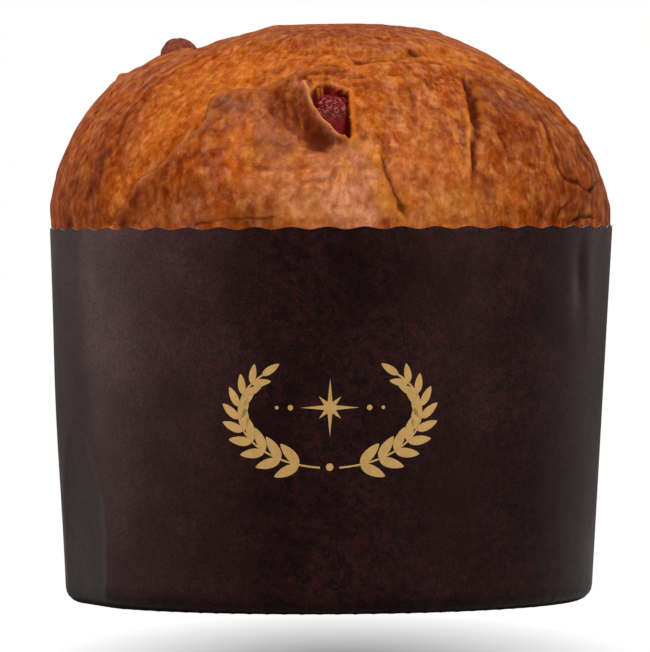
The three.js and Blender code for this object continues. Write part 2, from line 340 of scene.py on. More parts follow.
# The thin wall between the hollow and the cherry, and the cherry's opening
THIN_WALL = front((-8.2, 43), (-6.6, 39.6), (-3.9, 34.1), (-0.6, 29.5), (2.6, 26.4), (5, 25.2))
OPENING = front((-5.2, 39), (-3.4, 40.8), (-0.6, 41.2), (2.4, 39.9), (4.4, 39), (4.6, 36.3),
                (5.3, 30.7), (4.9, 25.8), (2.6, 26.7), (-0.2, 30.2), (-3.4, 34.8))
DEEP_CREASE = front((40.3, 44.5), (40.7, 39.9), (41.6, 34.1), (42.2, 28.5), (41.4, 22.8), (40.8, 17.2),
                    (41.2, 8.9))


def shape_front(crust):
    """The folds and tears that show from the front."""
    right_end = front((9, 48), (15, 48.8), (20, 49.8))
    band = crust.inside(np.vstack([FLAP_EDGE, right_end, BAND_UPPER[::-1]]), 0.8)
    which, distance, _, _ = crust.trace(BAND_UPPER, 10)
    band[which] *= smoothstep(0, 6.5, distance + 3 * crust.rough[which] + crust.ragged[which])
    crust.lift -= 1.2 * band
    crust.masks["bare"] = band
    crust.torn = band * (1 - smoothstep(-45, -28, crust.bent[:, 0]))
    which, distance, _, along = crust.trace(BAND_RIGHT, 14)
    half = np.interp(along, [0, 0.25, 0.5, 0.75, 1], [2.5, 6, 7, 5.5, 2])
    amount = 1 - smoothstep(0.6, 1.2, distance / half + 0.3 * crust.rough[which])
    crust.lift[which] -= 1.0 * amount
    crust.paint("bare", which, 0.85 * amount)
    crust.ledge(FLAP_EDGE, 1.3, 9, overhang=0.5, toast=1.0, toast_reach=6, grey=0.7, start=0.2)
    crust.ledge(PANEL_EDGE, 1.1, 13, toast=0.7, toast_reach=11, grey=0.65, grey_reach=3.6,
                sharp=2.4, taper=0.15)
    crust.ledge(BAND_UPPER[::-1], 0.5, 7, toast=0.45, toast_reach=9, sharp=2.5)
    shape_hollow(crust)
    shape_middle(crust)
    shape_right(crust)

    # The fold just above the rim on the left of the flap
    crust.crease(front((-45.8, 0.5), (-35.6, 1.7), (-28.9, 2.5), (-23.4, 2.9), (-17.8, 3), (-14.6, 2.4)),
                 1.1, 0.65, lips=0.6, dark=0.7)

    # The left flap
    crust.crease(around((-72, 33), (-75, 37), (-80, 42), (-86, 45)), 1.3, 1.1, lips=0.3, dark=0.9)
    crust.crease(around((-56, 36), (-54, 29), (-52, 23)), 0.7, 1.2, dark=0.5)
    crust.crease(around((-72, 31), (-72, 27), (-71, 20)), 0.8, 1.1, dark=0.7)
    crust.ridge(around((-84, 41), (-74, 44), (-64, 46)), 0.6, 3.0, 0.6)
    # Small bumps and dips of the outline, on the left and on the right
    for azimuth, height, rise, spread in (
        (-90, 57.3, 0.8, 1.6), (-88, 61.2, 0.5, 3.5), (-90, 44.2, 1.3, 1.8), (88, 57.2, -0.7, 1.3),
        (90, 58.2, 0.4, 2.2), (86, 60.8, -0.5, 1.4), (-90, 49.5, -1.5, 3.4), (-90, 40.3, -0.8, 2.5),
        (-90, 57.8, -0.7, 7),
    ):
        crust.swelling(around((azimuth, height))[0], rise, spread)
    # The dip over the top, beside the raisin
    crust.ridge(around((-56, 53.6), (-66, 54.8), (-78, 55.9), (-90, 56.2), (-104, 55.7), (-117, 54.4)),
                -1.9, 3.0, taper=0.25)


def shape_hollow(crust):
    """The hollow beside the cherry, the cherry's pocket and the thin wall between them."""
    hollow = crust.inside(front((-18.4, 39.9), (-15.6, 42.1), (-11.7, 42.9), (-7, 40), (-4.6, 34.5),
                                (-1.8, 30), (0.8, 25.6), (-1.1, 23.1), (-6.7, 23.7), (-12.8, 28.5),
                                (-18.4, 33)), 4.2)
    pocket = crust.inside(OPENING, 1.1)
    crust.lift -= 2.4 * hollow + 6.0 * pocket
    # The hollow is painted toasted and darkened with painted shade; the pocket gets a dark red painted shade
    crust.masks["crease"] = np.maximum(crust.masks["crease"], 0.5 * hollow)
    crust.masks["pocket_shade"] = smoothstep(0.02, 0.14, pocket)
    crust.masks["toast"] = np.maximum(crust.masks["toast"], 0.9 * hollow)
    # Painted shade in the hollow, deepest at its lower right beside the thin wall
    crust.stain_front("crease", (-3.6, 27, 4.6, 1.2), (-6.4, 31, 4.2, 0.9), (-10, 36, 3, 0.5),
                      (-4, 35, 2.8, 0.9), (-6, 38.5, 2.4, 0.7), (-2, 29.5, 2.6, 1.0), (-8, 33, 3.5, 0.7))
    crust.swelling(front((-3.4, 27))[0], -1.6, 3.8)
    for path, depth in ((front((-17.3, 40.8), (-17.3, 35.3), (-16.4, 31)), 0.8),
                        (front((-14.2, 42), (-13.9, 35.8), (-12.8, 30)), 1.0),
                        (front((-10.9, 42.6), (-10.3, 35.2), (-8.9, 28)), 1.1),
                        (front((-7.7, 40.6), (-7, 33), (-5.6, 26)), 1.2)):
        crust.crease(path, 0.6 * depth, 0.8, lips=0.1, dark=0.7, taper=0.3)
    which, distance, _, along = crust.trace(THIN_WALL, 2.5)
    ends = smoothstep(0, 0.1, along) * smoothstep(0, 0.1, 1 - along)
    crust.lift[which] += 1.9 * ends * bell(distance, 0.75)
    crust.paint("pale", which, 1.2 * ends * bell(distance, 1.0))
    for mask in ("crease", "toast", "pocket_shade"):
        crust.masks[mask][which] *= 1 - ends * bell(distance, 1.0)
    crust.ridge(front((-8, 43), (-2, 43.4), (5.3, 42.4), (9, 42.8)), 0.7, 1.0, 0.6, "bare")
    crust.ridge(front((5.7, 40), (5.6, 36), (6.6, 31), (6, 26)), 0.6, 1.3, 0.6, "bare")
    crust.stain_front("toast", (-4, 45, 4, 0.7), (1, 45.5, 3.5, 0.8), (-9, 43, 3, 0.4))


def shape_middle(crust):
    """The ridge down the middle, the dark crease on its right and the wrinkles beside them."""
    crust.ridge(front((4, 25.6), (8.5, 24), (11.6, 21.5), (13.2, 17.2), (15.4, 10.6), (17, 1)),
                1.7, 2.6, 0.9, "gold", taper=0.12)
    crust.crease(front((12.6, 22.7), (15.1, 17.8), (17, 13.9), (19.2, 10), (20.6, 6.1), (23, 0.8)),
                 1.6, 0.85, uneven=0.8)
    crust.stain_front("pale", (10.5, 22.8, 1.8, 1.0))
    # Painted shade round the pit
    crust.stain_front("crease", (9, 25.8, 1.7, 0.6))
    crust.pit(front((9, 26))[0], 0.9, 1.3)
    away = crust.bent - front((4, 24.5))[0]
    reach = np.linalg.norm(away, axis=1)
    turn = np.arctan2(away[:, 2], -away[:, 0])
    fan = np.column_stack([9 * turn, reach / 17, crust.bent[:, 1] / 60])
    crust.fan = np.column_stack([11 * turn, reach / 3.2, crust.bent[:, 1] / 60])
    weight = (smoothstep(4, 12, reach) * (1 - smoothstep(30, 52, reach)) * (away[:, 0] < 11)
              * (crust.point[:, 1] < 0) * smoothstep(-2, 3, 22 - crust.point[:, 2] - 0.25 * away[:, 0])
              * (1 - crust.masks["bare"]))
    crust.masks["fanned"] = weight
    crust.wrinkles(fan, weight, 0.4, 0.3)
    crust.crease(front((-3, 21.8), (-12, 22.4), (-20, 25.5)), 0.5, 0.8, dark=0.4)
    crust.crease(front((-4, 18.5), (-12, 16.5), (-22, 17.5), (-30, 21)), 0.5, 0.9, dark=0.35)
    crust.crease(front((3, 17), (-3, 13.5), (-10, 11.5)), 0.5, 0.8, dark=0.4)


def shape_right(crust):
    """The panel right of the middle, its deep crease and the folds beyond it."""
    panel = (smoothstep(4, 12, crust.point[:, 0]) * (1 - smoothstep(60, 80, crust.point[:, 0]))
             * (crust.point[:, 1] < 0) * (1 - smoothstep(38, 48, crust.point[:, 2])))
    crust.wrinkles(crust.upright(3.6) / 7.5, panel, 0.3, 0.2)
    crust.crease(DEEP_CREASE, 1.1, 1.0, uneven=0.6)
    crust.crease(front((40, 45.5), (41.2, 40), (42.4, 34.1), (42.6, 26)), 2.6, 1.6, lips=0.05, uneven=0.1)
    crust.ridge(front((39.2, 33.7), (40, 28.7), (39.2, 22.8), (39.4, 9.8)), 0.8, 1.1, 1.0, "gold")
    crust.pit(front((38, 23.4))[0], 0.9, 1.0)
    crust.stain_front("pale", (43.6, 22.8, 1.2, 0.8))
    crust.crease(front((22.6, 41.5), (23.7, 37.4), (23.6, 31.8), (24.8, 28)), 0.7, 0.9, dark=0.5)
    crust.crease(front((30.4, 29), (28.5, 25.6), (29, 20)), 0.5, 0.8, dark=0.4)
    crust.crease(front((25.6, 19), (25.4, 13)), 0.5, 0.8, dark=0.4)

    crust.crease(front((49.5, 18.7), (52, 19.4), (55, 19.4), (57.9, 17.9), (61.3, 17)),
                 0.6, 0.6, lips=0.2, dark=0.6)
    crust.crease(front((63.6, 22), (65.5, 17.6), (68.6, 13.8), (72.5, 12.9), (75, 11), (77.6, 10.6),
                       (79.4, 12), (81.4, 13.9)), 0.85, 0.5, lips=0.1, taper=0.25)
    crust.swelling(front((76.5, 14.5))[0], 0.6, 3.2)
    crust.ridge(front((63.5, 29.3), (64.5, 23.6), (67, 18.5)), 0.8, 1.0, 0.55)
    crust.ridge(front((60.6, 31), (61.6, 26.4), (62.3, 21.8)), 0.6, 1.0, 0.4)
    crust.crease(front((66.4, 2.6), (68.2, 5.5), (71, 7.6)), 0.8, 0.6, dark=0.7)
    crust.crease(front((70.6, 1), (74.8, 2.1), (79.4, 2)), 0.9, 0.7, dark=0.9)

    # Wrinkles and pits under the top of the band
    crust.crease(front((5.3, 43.6), (12.5, 44.6), (22.1, 44.6)), 0.7, 0.8, lips=0.5, dark=0.4)
    for place, width in (((25.1, 52), 1.5), ((22.8, 49.3), 1.2), ((27.3, 48.5), 1.1), ((25.5, 44.4), 1.0),
                         ((32.3, 44.4), 0.8), ((1.4, 47.6), 1.2), ((-1.5, 48), 0.9)):
        crust.pit(front(place)[0], 0.7, width)
    crust.ridge(front((6.8, 49.4), (8.1, 50.4), (9.4, 49.4)), 0.5, 0.8)


def shape_back(crust):
    """The crust behind, in the manner of the front: a bare band between two flaps, and creases."""
    path = around((171, 58), (173, 50), (168, 38), (163, 24), (160, 12), (161, 1))
    which, distance, _, along = crust.trace(path, 22)
    half = np.interp(along, [0, 0.3, 0.7, 1], [2, 9, 10, 7])
    amount = 1 - smoothstep(0.7, 1.15, distance / half + 0.25 * crust.rough[which])
    crust.lift[which] -= 1.8 * amount
    crust.paint("bare", which, 0.95 * amount)
    crust.ledge(around((150, 0.4), (150, 12), (153, 24), (157, 38), (161, 48), (166, 57)), 1.5, 10,
                overhang=0.8, toast=0.9, grey=0.8)
    crust.crease(around((-110, 52), (-114, 40), (-118, 28), (-115, 14)), 1.8, 0.9)
    crust.crease(around((112, 50), (108, 38), (114, 25), (110, 12)), 1.8, 0.9)
    crust.crease(around((-140, 4), (-148, 3), (-158, 5)), 1.4, 0.7, lips=0.6)
    crust.crease(around((128, 20), (134, 17), (141, 19)), 1.0, 0.7, lips=0.5)
    crust.crease(around((-95, 14), (-100, 11), (-106, 12)), 1.0, 0.7, lips=0.5)
    crust.ridge(around((-128, 46), (-132, 34), (-134, 20)), 1.0, 2.2, 0.4)
    crust.ridge(around((95, 42), (93, 30), (96, 16)), 1.0, 2.2, 0.35)
    crust.ridge(around((136, 48), (140, 36), (138, 22)), 0.9, 2.0, 0.4)
    behind = smoothstep(-20, 20, crust.point[:, 1]) * (1 - smoothstep(44, 54, crust.point[:, 2]))
    crust.wrinkles(crust.upright(3.2) / 8, behind, 0.35, 0.25)
    for azimuth, height in ((-120, 44), (-160, 30), (150, 42), (122, 33), (-104, 24), (98, 52), (-170, 54)):
        crust.pit(around((azimuth, height))[0], 0.8, 1.2)


def shape_broad(crust):
    """The swellings that set the outline, as in the solid, and the uneven growth over them."""
    raisin = np.array([*((RAISIN_LOW + RAISIN_HIGH) / 2)]) / MM
    raisin[2] -= RIM_HEIGHT / MM
    for place, rise, spread in (
        (around((-88, 43))[0], 2.2, 21),
        (around((-80, 58))[0], -1.4, 12),
        (around((92, 30))[0], -2.2, 24),
        (around((84, 45))[0], -1.1, 13),
        (around((0, 61.5))[0], -0.2, 30),
        (around((90, 59))[0], 0.6, 9),
        (front((-24, 20))[0], 1.8, 20),
        (front((33, 24))[0], 1.4, 13),
        (front((62, 22))[0], 1.6, 14),
        (raisin, 0.8, 7),
        (around((-130, 25))[0], 2, 22),
        (around((140, 28))[0], 2, 24),
        (around((180, 12))[0], 1.2, 16),
    ):
        crust.swelling(place, rise, spread)
    crust.lift += 0.5 * crust.noise_values(17, 1)
    crust.lift += 0.3 * crust.noise_values(6, 2)
    skin = crust.noise_values(1.0, 3, crust.upright(1.7) / 4.2)
    crust.lift += 0.12 * (0.5 - np.abs(skin))
    crust.lift += 0.06 * (1 + crust.masks["bare"]) * crust.noise_values(1.0, 2, crust.upright(2.4) / 1.5)


def stain_crust(crust):
    """Where the oven browned the crust more, and where it stayed pale, with painted light among them: the
    toast on the flanks and round the pits is partly painted shade, grey is a painted sheen, pale is partly a
    painted highlight, and crease patches are painted shade.
    """
    # Toast, partly painted shade on the flanks of the dome and in small pits
    crust.stain_front(
        "toast",
        (-60, 34, 7, 0.95), (-64, 27, 9, 1.0), (-70, 20, 9, 0.85), (-75, 12, 9, 0.8), (-72, 4, 10, 0.8),
        (-80, 5, 7, 0.7),
        (-40, 29, 5, 0.85), (-45, 23, 7, 0.95), (-50, 16, 8, 0.95), (-56, 8, 7, 0.95), (-49, 5, 9, 0.6),
        (-41, 14, 8, 0.6), (-35, 8, 5, 0.4), (-28, 1.5, 5, 0.65), (-18, 1.5, 5, 0.7), (-38, 2, 6, 0.4),
        (52, 29, 11, 0.95), (60, 32, 8, 0.9), (66, 22, 9, 0.85), (71, 10, 11, 0.9), (77, 19, 8, 0.8),
        (60, 4, 7, 0.6), (44.5, 12, 4, 0.6), (49, 20, 7, 0.6), (24, 38, 2.5, 0.5), (47, 40, 6, 0.6),
        (8.1, 49.6, 1.8, 1.1), (-15.7, 46.5, 2.6, 1.0), (-11.5, 50, 1.5, 0.6), (0, 48, 3, 0.9),
        (-20.7, 43.2, 1.4, 0.9), (24, 52, 2.5, 1.1), (22, 49.5, 2.2, 0.9), (27.5, 49.5, 1.8, 0.8),
        (2, 57, 16, 0.6), (-48, 35, 9, 0.4), (-58, 21, 8, 0.5), (58, 26, 9, 0.4), (-28, 55.5, 2.5, 0.5),
        (12, 50.5, 2.5, 0.6), (16, 22, 2.5, 0.5), (-33, 29, 5, 0.6), (-15, 29, 5, 0.4),
        (21, 38, 6, 0.35), (22, 47, 4, 0.35), (-69, 35, 5, 0.4), (-51, 29, 4, 0.3),
        (39, 29, 5, 0.3), (22, 29, 6, 0.2), (54, 33, 6, 0.3), (58, 20, 13, 0.45), (-69, 12, 4, 0.8),
        (3, 24, 3, 0.4), (13, 41, 5, 0.25), (-15, 47, 6, 0.25))
    # Painted sheen: purple-grey reflection on the dark crust
    crust.stain_front(
        "grey",
        (-30, 36, 5.5, 0.9), (-25, 33.5, 5, 0.8), (-33.5, 32, 3.5, 0.8), (-33, 36.8, 3, 1.0),
        (-15, 29, 5.5, 0.8), (-18, 24, 5, 0.75), (-11, 23, 3.5, 0.65), (-58, 44.5, 5, 0.5),
        (-53, 47, 4, 0.5), (-70, 33, 2.4, 0.5),
        (48, 37.5, 4, 0.9), (56, 37, 4.5, 0.9), (66, 31.5, 5, 0.75), (74, 24, 5, 0.65), (79, 14, 5, 0.5),
        (16, 33, 2.5, 0.4), (20, 32, 2.5, 0.5), (-14, 58, 4, 0.6), (3, 23.5, 3, 0.45), (-7, 22, 4, 0.4),
        (30, 26, 12, 0.14), (66, 34, 4, 0.5), (30, 12, 5, 0.15))
    # Pale crust, partly a painted highlight where the crust faces the light
    crust.stain_front(
        "pale",
        (-15, 12, 7, 0.7), (-12, 8, 5, 0.8), (-3, 13, 5, 0.7), (4, 18, 5, 0.8), (8, 21, 3.5, 0.8),
        (3, 6, 9, 1.1), (10, 5, 6, 1.0), (12, 13, 4, 0.6), (20, 17, 3.5, 0.7), (24, 16, 3, 0.6),
        (-27, 35, 2.4, 0.8), (-17, 26, 2.2, 0.8), (-24, 33, 7, 0.35), (30, 25, 9, 0.2), (8, 50, 9, 0.35),
        (30, 11, 5, 0.5),
        (20, 30, 2.2, 0.7), (3, 51, 1.6, 0.7), (26, 2, 3, 0.5), (-6, 6, 5, 0.6), (-40, 5, 5, 0.35),
        (-64, 41, 3, 0.4), (-5, 21, 6, 0.4), (-7, 52, 5, 0.35))
    crust.stain_front(
        "gold",
        (9, 24, 3, 0.8), (9.5, 31, 2.2, 0.5), (14, 12, 3, 0.5), (-13, 4, 4, 0.6), (-3, 3, 3, 0.5),
        (-57, 24, 3, 0.6), (-50, 33, 3, 0.7), (-47, 41, 3, 0.5), (-66, 12, 2.4, 0.2), (36, 9, 4, 0.5),
        (38.5, 50, 4, 0.8), (27, 24, 3, 0.4), (-11, 41.5, 2, 0.3), (-36, 45, 4, 0.3), (52, 44, 3, 0.5),
        (21, 5, 4, 0.7), (31, 6, 5, 0.7), (40, 5, 4, 0.7), (-6, 5, 5, 0.5), (49, 9, 4, 0.3))
    crust.stain_front(
        "bare",
        (-24, 19, 6, 0.6), (-20, 14, 6, 0.5), (8, 37, 3.8, 0.9), (14, 35.5, 3.2, 0.8), (12, 30, 3.2, 0.8),
        (18, 38, 3, 0.7), (12, 45, 3.5, 0.9), (20, 44, 3, 0.8), (20, 20, 5, 0.75), (27, 17, 5.5, 0.8),
        (34, 22, 4, 0.9), (36, 14, 3.6, 0.8), (27, 8, 5.5, 0.7), (36, 4, 3.2, 0.7), (42, 7, 3, 0.6),
        (32, 54, 4, 1.0), (35, 49, 4, 0.9), (18.5, 7, 3, 0.9), (25, 30, 5, 0.5), (-53, 33, 3.4, 0.8),
        (-44, 48, 5, 0.7), (-46, 44, 4, 0.8), (-28, 44, 6, 0.8), (-55, 8, 9, 0.6), (52, 8, 7, 0.35),
        (56, 15, 4, 0.35))
    # Painted shade in folds, pits and the deep crease
    crust.stain_front(
        "crease",
        (-67.2, 18.5, 2.8, 0.85), (-34, 38, 1.8, 0.5), (-57, 7, 2.4, 0.8), (-60.5, 1.5, 3.6, 0.9),
        (-78, 1, 3, 0.9),
        (-70, 11.5, 3, 0.5), (-69, 36, 2.2, 0.5), (41.5, 46, 2.6, 0.9), (42.6, 43, 2.4, 1.0),
        (43, 38, 2.6, 1.1), (42.8, 33.5, 2.8, 1.2), (42.4, 27, 1.8, 1.0), (41.5, 21, 1.6, 0.6),
        (46.5, 9.5, 1.5, 0.5),
        (73.5, 1.8, 2.4, 0.9), (69, 5, 1.4, 0.7), (77.5, 11.8, 1.5, 0.9), (19.5, 10, 1.4, 0.6),
        (-9.5, 34, 2.6, 0.7), (1, 1, 2, 0.3), (-24, 2.6, 2.5, 0.6))
    # Toast over the flanks and the back, partly painted shade
    for place, spread, amount in (
        (around((-92, 22))[0], 16, 0.7),
        (around((85, 24))[0], 18, 0.75),
        (around((40, 60))[0], 12, 0.4),
        (around((150, 58))[0], 22, 0.6),
        (around((-120, 30))[0], 26, 0.8),
        (around((125, 40))[0], 24, 0.8),
        (around((-165, 48))[0], 14, 0.6),
        (around((170, 12))[0], 14, 0.6),
        (around((100, 6))[0], 12, 0.5),
    ):
        crust.stain("toast", place, spread, amount)
    crust.masks["toast"] *= 1 - 0.5 * crust.torn
    # Behind: pale crust partly as painted highlights, grey as painted sheen, and torn crust
    for mask, place, spread, amount in (
        ("pale", around((-165, 20))[0], 14, 0.7),
        ("pale", around((105, 14))[0], 11, 0.6),
        ("pale", around((-140, 8))[0], 9, 0.6),
        ("grey", around((-150, 34))[0], 9, 0.6),
        ("grey", around((135, 50))[0], 9, 0.6),
        ("grey", around((-100, 46))[0], 8, 0.5),
        ("bare", around((-140, 44))[0], 12, 0.7),
        ("bare", around((118, 16))[0], 14, 0.6),
        ("bare", around((-112, 12))[0], 10, 0.6),
    ):
        crust.stain(mask, place, spread, amount)


def give_mesh(name, form, material, slot, *replaced):
    """Makes a piece from a bmesh, gives it its finish and hangs it on the frame."""
    mesh = bpy.data.meshes.new(name)
    form.to_mesh(mesh)
    form.free()
    mesh.shade_smooth()
    piece = bpy.data.objects.new(name, mesh)
    bpy.context.collection.objects.link(piece)
    mesh.materials.append(material)
    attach(piece, "root")
    if replaced:
        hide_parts(*replaced)
    return piece


def read_points(mesh):
    """The mesh's corners as an array of places."""
    flat = np.empty(len(mesh.vertices) * 3, np.float32)
    mesh.vertices.foreach_get("co", flat)
    return flat.reshape(-1, 3).astype(float)


def write_points(mesh, points):
    """Moves the mesh's corners to these places."""
    mesh.vertices.foreach_set("co", np.ascontiguousarray(points, np.float32).ravel())
    mesh.update()


def write_attribute(mesh, name, values):
    """Stores a number or a place for each corner, for the finish."""
    kind, field = ("FLOAT", "value") if values.ndim == 1 else ("FLOAT_VECTOR", "vector")
    layer = mesh.attributes.new(name=name, type=kind, domain="POINT")
    layer.data.foreach_set(field, np.ascontiguousarray(values, np.float32).ravel())


def add_node(tree, kind, inputs=None, **settings):
    """Adds a node, sets its properties, and sets or links its inputs by name or number."""
    node = tree.nodes.new("ShaderNode" + kind)
    for key, value in settings.items():
        setattr(node, key, value)
    for key, value in (inputs or {}).items():
        if isinstance(value, bpy.types.NodeSocket):
            tree.links.new(value, node.inputs[key])
        else:
            node.inputs[key].default_value = value
    return node


def mix_colours(tree, share, first, second, blend="MIX"):
    """Mixes a share of the second colour into the first."""
    node = tree.nodes.new("ShaderNodeMix")
    node.data_type, node.blend_type = "RGBA", blend
    for number, value in ((0, share), (6, first), (7, second)):
        if isinstance(value, bpy.types.NodeSocket):
            tree.links.new(value, node.inputs[number])
        else:
            node.inputs[number].default_value = value if number == 0 else (*value, 1)
    return node.outputs[2]


def map_range(tree, value, low, high, to_low=0.0, to_high=1.0):
    """Maps low to high onto another range, and holds values beyond it at its ends."""
    node = add_node(tree, "MapRange", {0: value, 1: low, 2: high, 3: to_low, 4: to_high})
    return node.outputs[0]


def maths(tree, operation, first, second=0.0):
    return add_node(tree, "Math", {0: first, 1: second}, operation=operation).outputs[0]


def noise_texture(tree, place, scale, detail, roughness=0.5, distortion=0.0):
    """Smooth noise over a surface: its value and, as Color, three more of them."""
    return add_node(tree, "TexNoise", {"Vector": place, "Scale": scale, "Detail": detail,
                                       "Roughness": roughness, "Distortion": distortion})


def times(tree, first, second):
    return maths(tree, "MULTIPLY", first, second)


def new_material(name):
    """A material with only a Principled shader and an output."""
    material = bpy.data.materials.new(name)
    material.use_nodes = True
    tree = material.node_tree
    tree.nodes.clear()
    shader = tree.nodes.new("ShaderNodeBsdfPrincipled")
    output = tree.nodes.new("ShaderNodeOutputMaterial")
    tree.links.new(shader.outputs[0], output.inputs[0])
    return material, tree, shader


def speckle_group():
    """Speckles of a given size on a surface: a soft mask and a sharp one."""
    if "Speckle" in bpy.data.node_groups:
        return bpy.data.node_groups["Speckle"]
    tree = bpy.data.node_groups.new("Speckle", "ShaderNodeTree")
    for name, kind in (("Place", "NodeSocketVector"), ("Scale", "NodeSocketFloat"),
                       ("Share", "NodeSocketFloat")):
        tree.interface.new_socket(name, in_out="INPUT", socket_type=kind)
    for name in ("Cloud", "Speck"):
        tree.interface.new_socket(name, in_out="OUTPUT", socket_type="NodeSocketFloat")
    given = tree.nodes.new("NodeGroupInput")
    made = tree.nodes.new("NodeGroupOutput")
    cloud = noise_texture(tree, given.outputs["Place"], given.outputs["Scale"], 4.0, 0.62)
    fine = times(tree, given.outputs["Scale"], 2.7)
    grains = noise_texture(tree, given.outputs["Place"], fine, 2.0)
    edge = maths(tree, "SUBTRACT", 1.0, given.outputs["Share"])
    speck = map_range(tree, grains.outputs[0], edge, maths(tree, "ADD", edge, 0.07))
    tree.links.new(map_range(tree, cloud.outputs[0], 0.3, 0.7), made.inputs["Cloud"])
    tree.links.new(speck, made.inputs["Speck"])
    return tree


def add_speckle(tree, place, scale, share):
    """Places the speckle group: its cloud and its specks."""
    node = tree.nodes.new("ShaderNodeGroup")
    node.node_tree = speckle_group()
    tree.links.new(place, node.inputs["Place"])
    node.inputs["Scale"].default_value = scale
    node.inputs["Share"].default_value = share
    return node.outputs["Cloud"], node.outputs["Speck"]


def add_bump(tree, shader, relief, strength, distance):
    """Gives the shader a relief of this depth in metres."""
    bump = add_node(tree, "Bump", {"Height": relief, "Strength": strength, "Distance": distance})
    tree.links.new(bump.outputs[0], shader.inputs["Normal"])


def set_inputs(shader, **values):
    """Sets inputs of a shader by their names, with underscores for the spaces."""
    for name, value in values.items():
        shader.inputs[name.replace("_", " ")].default_value = value


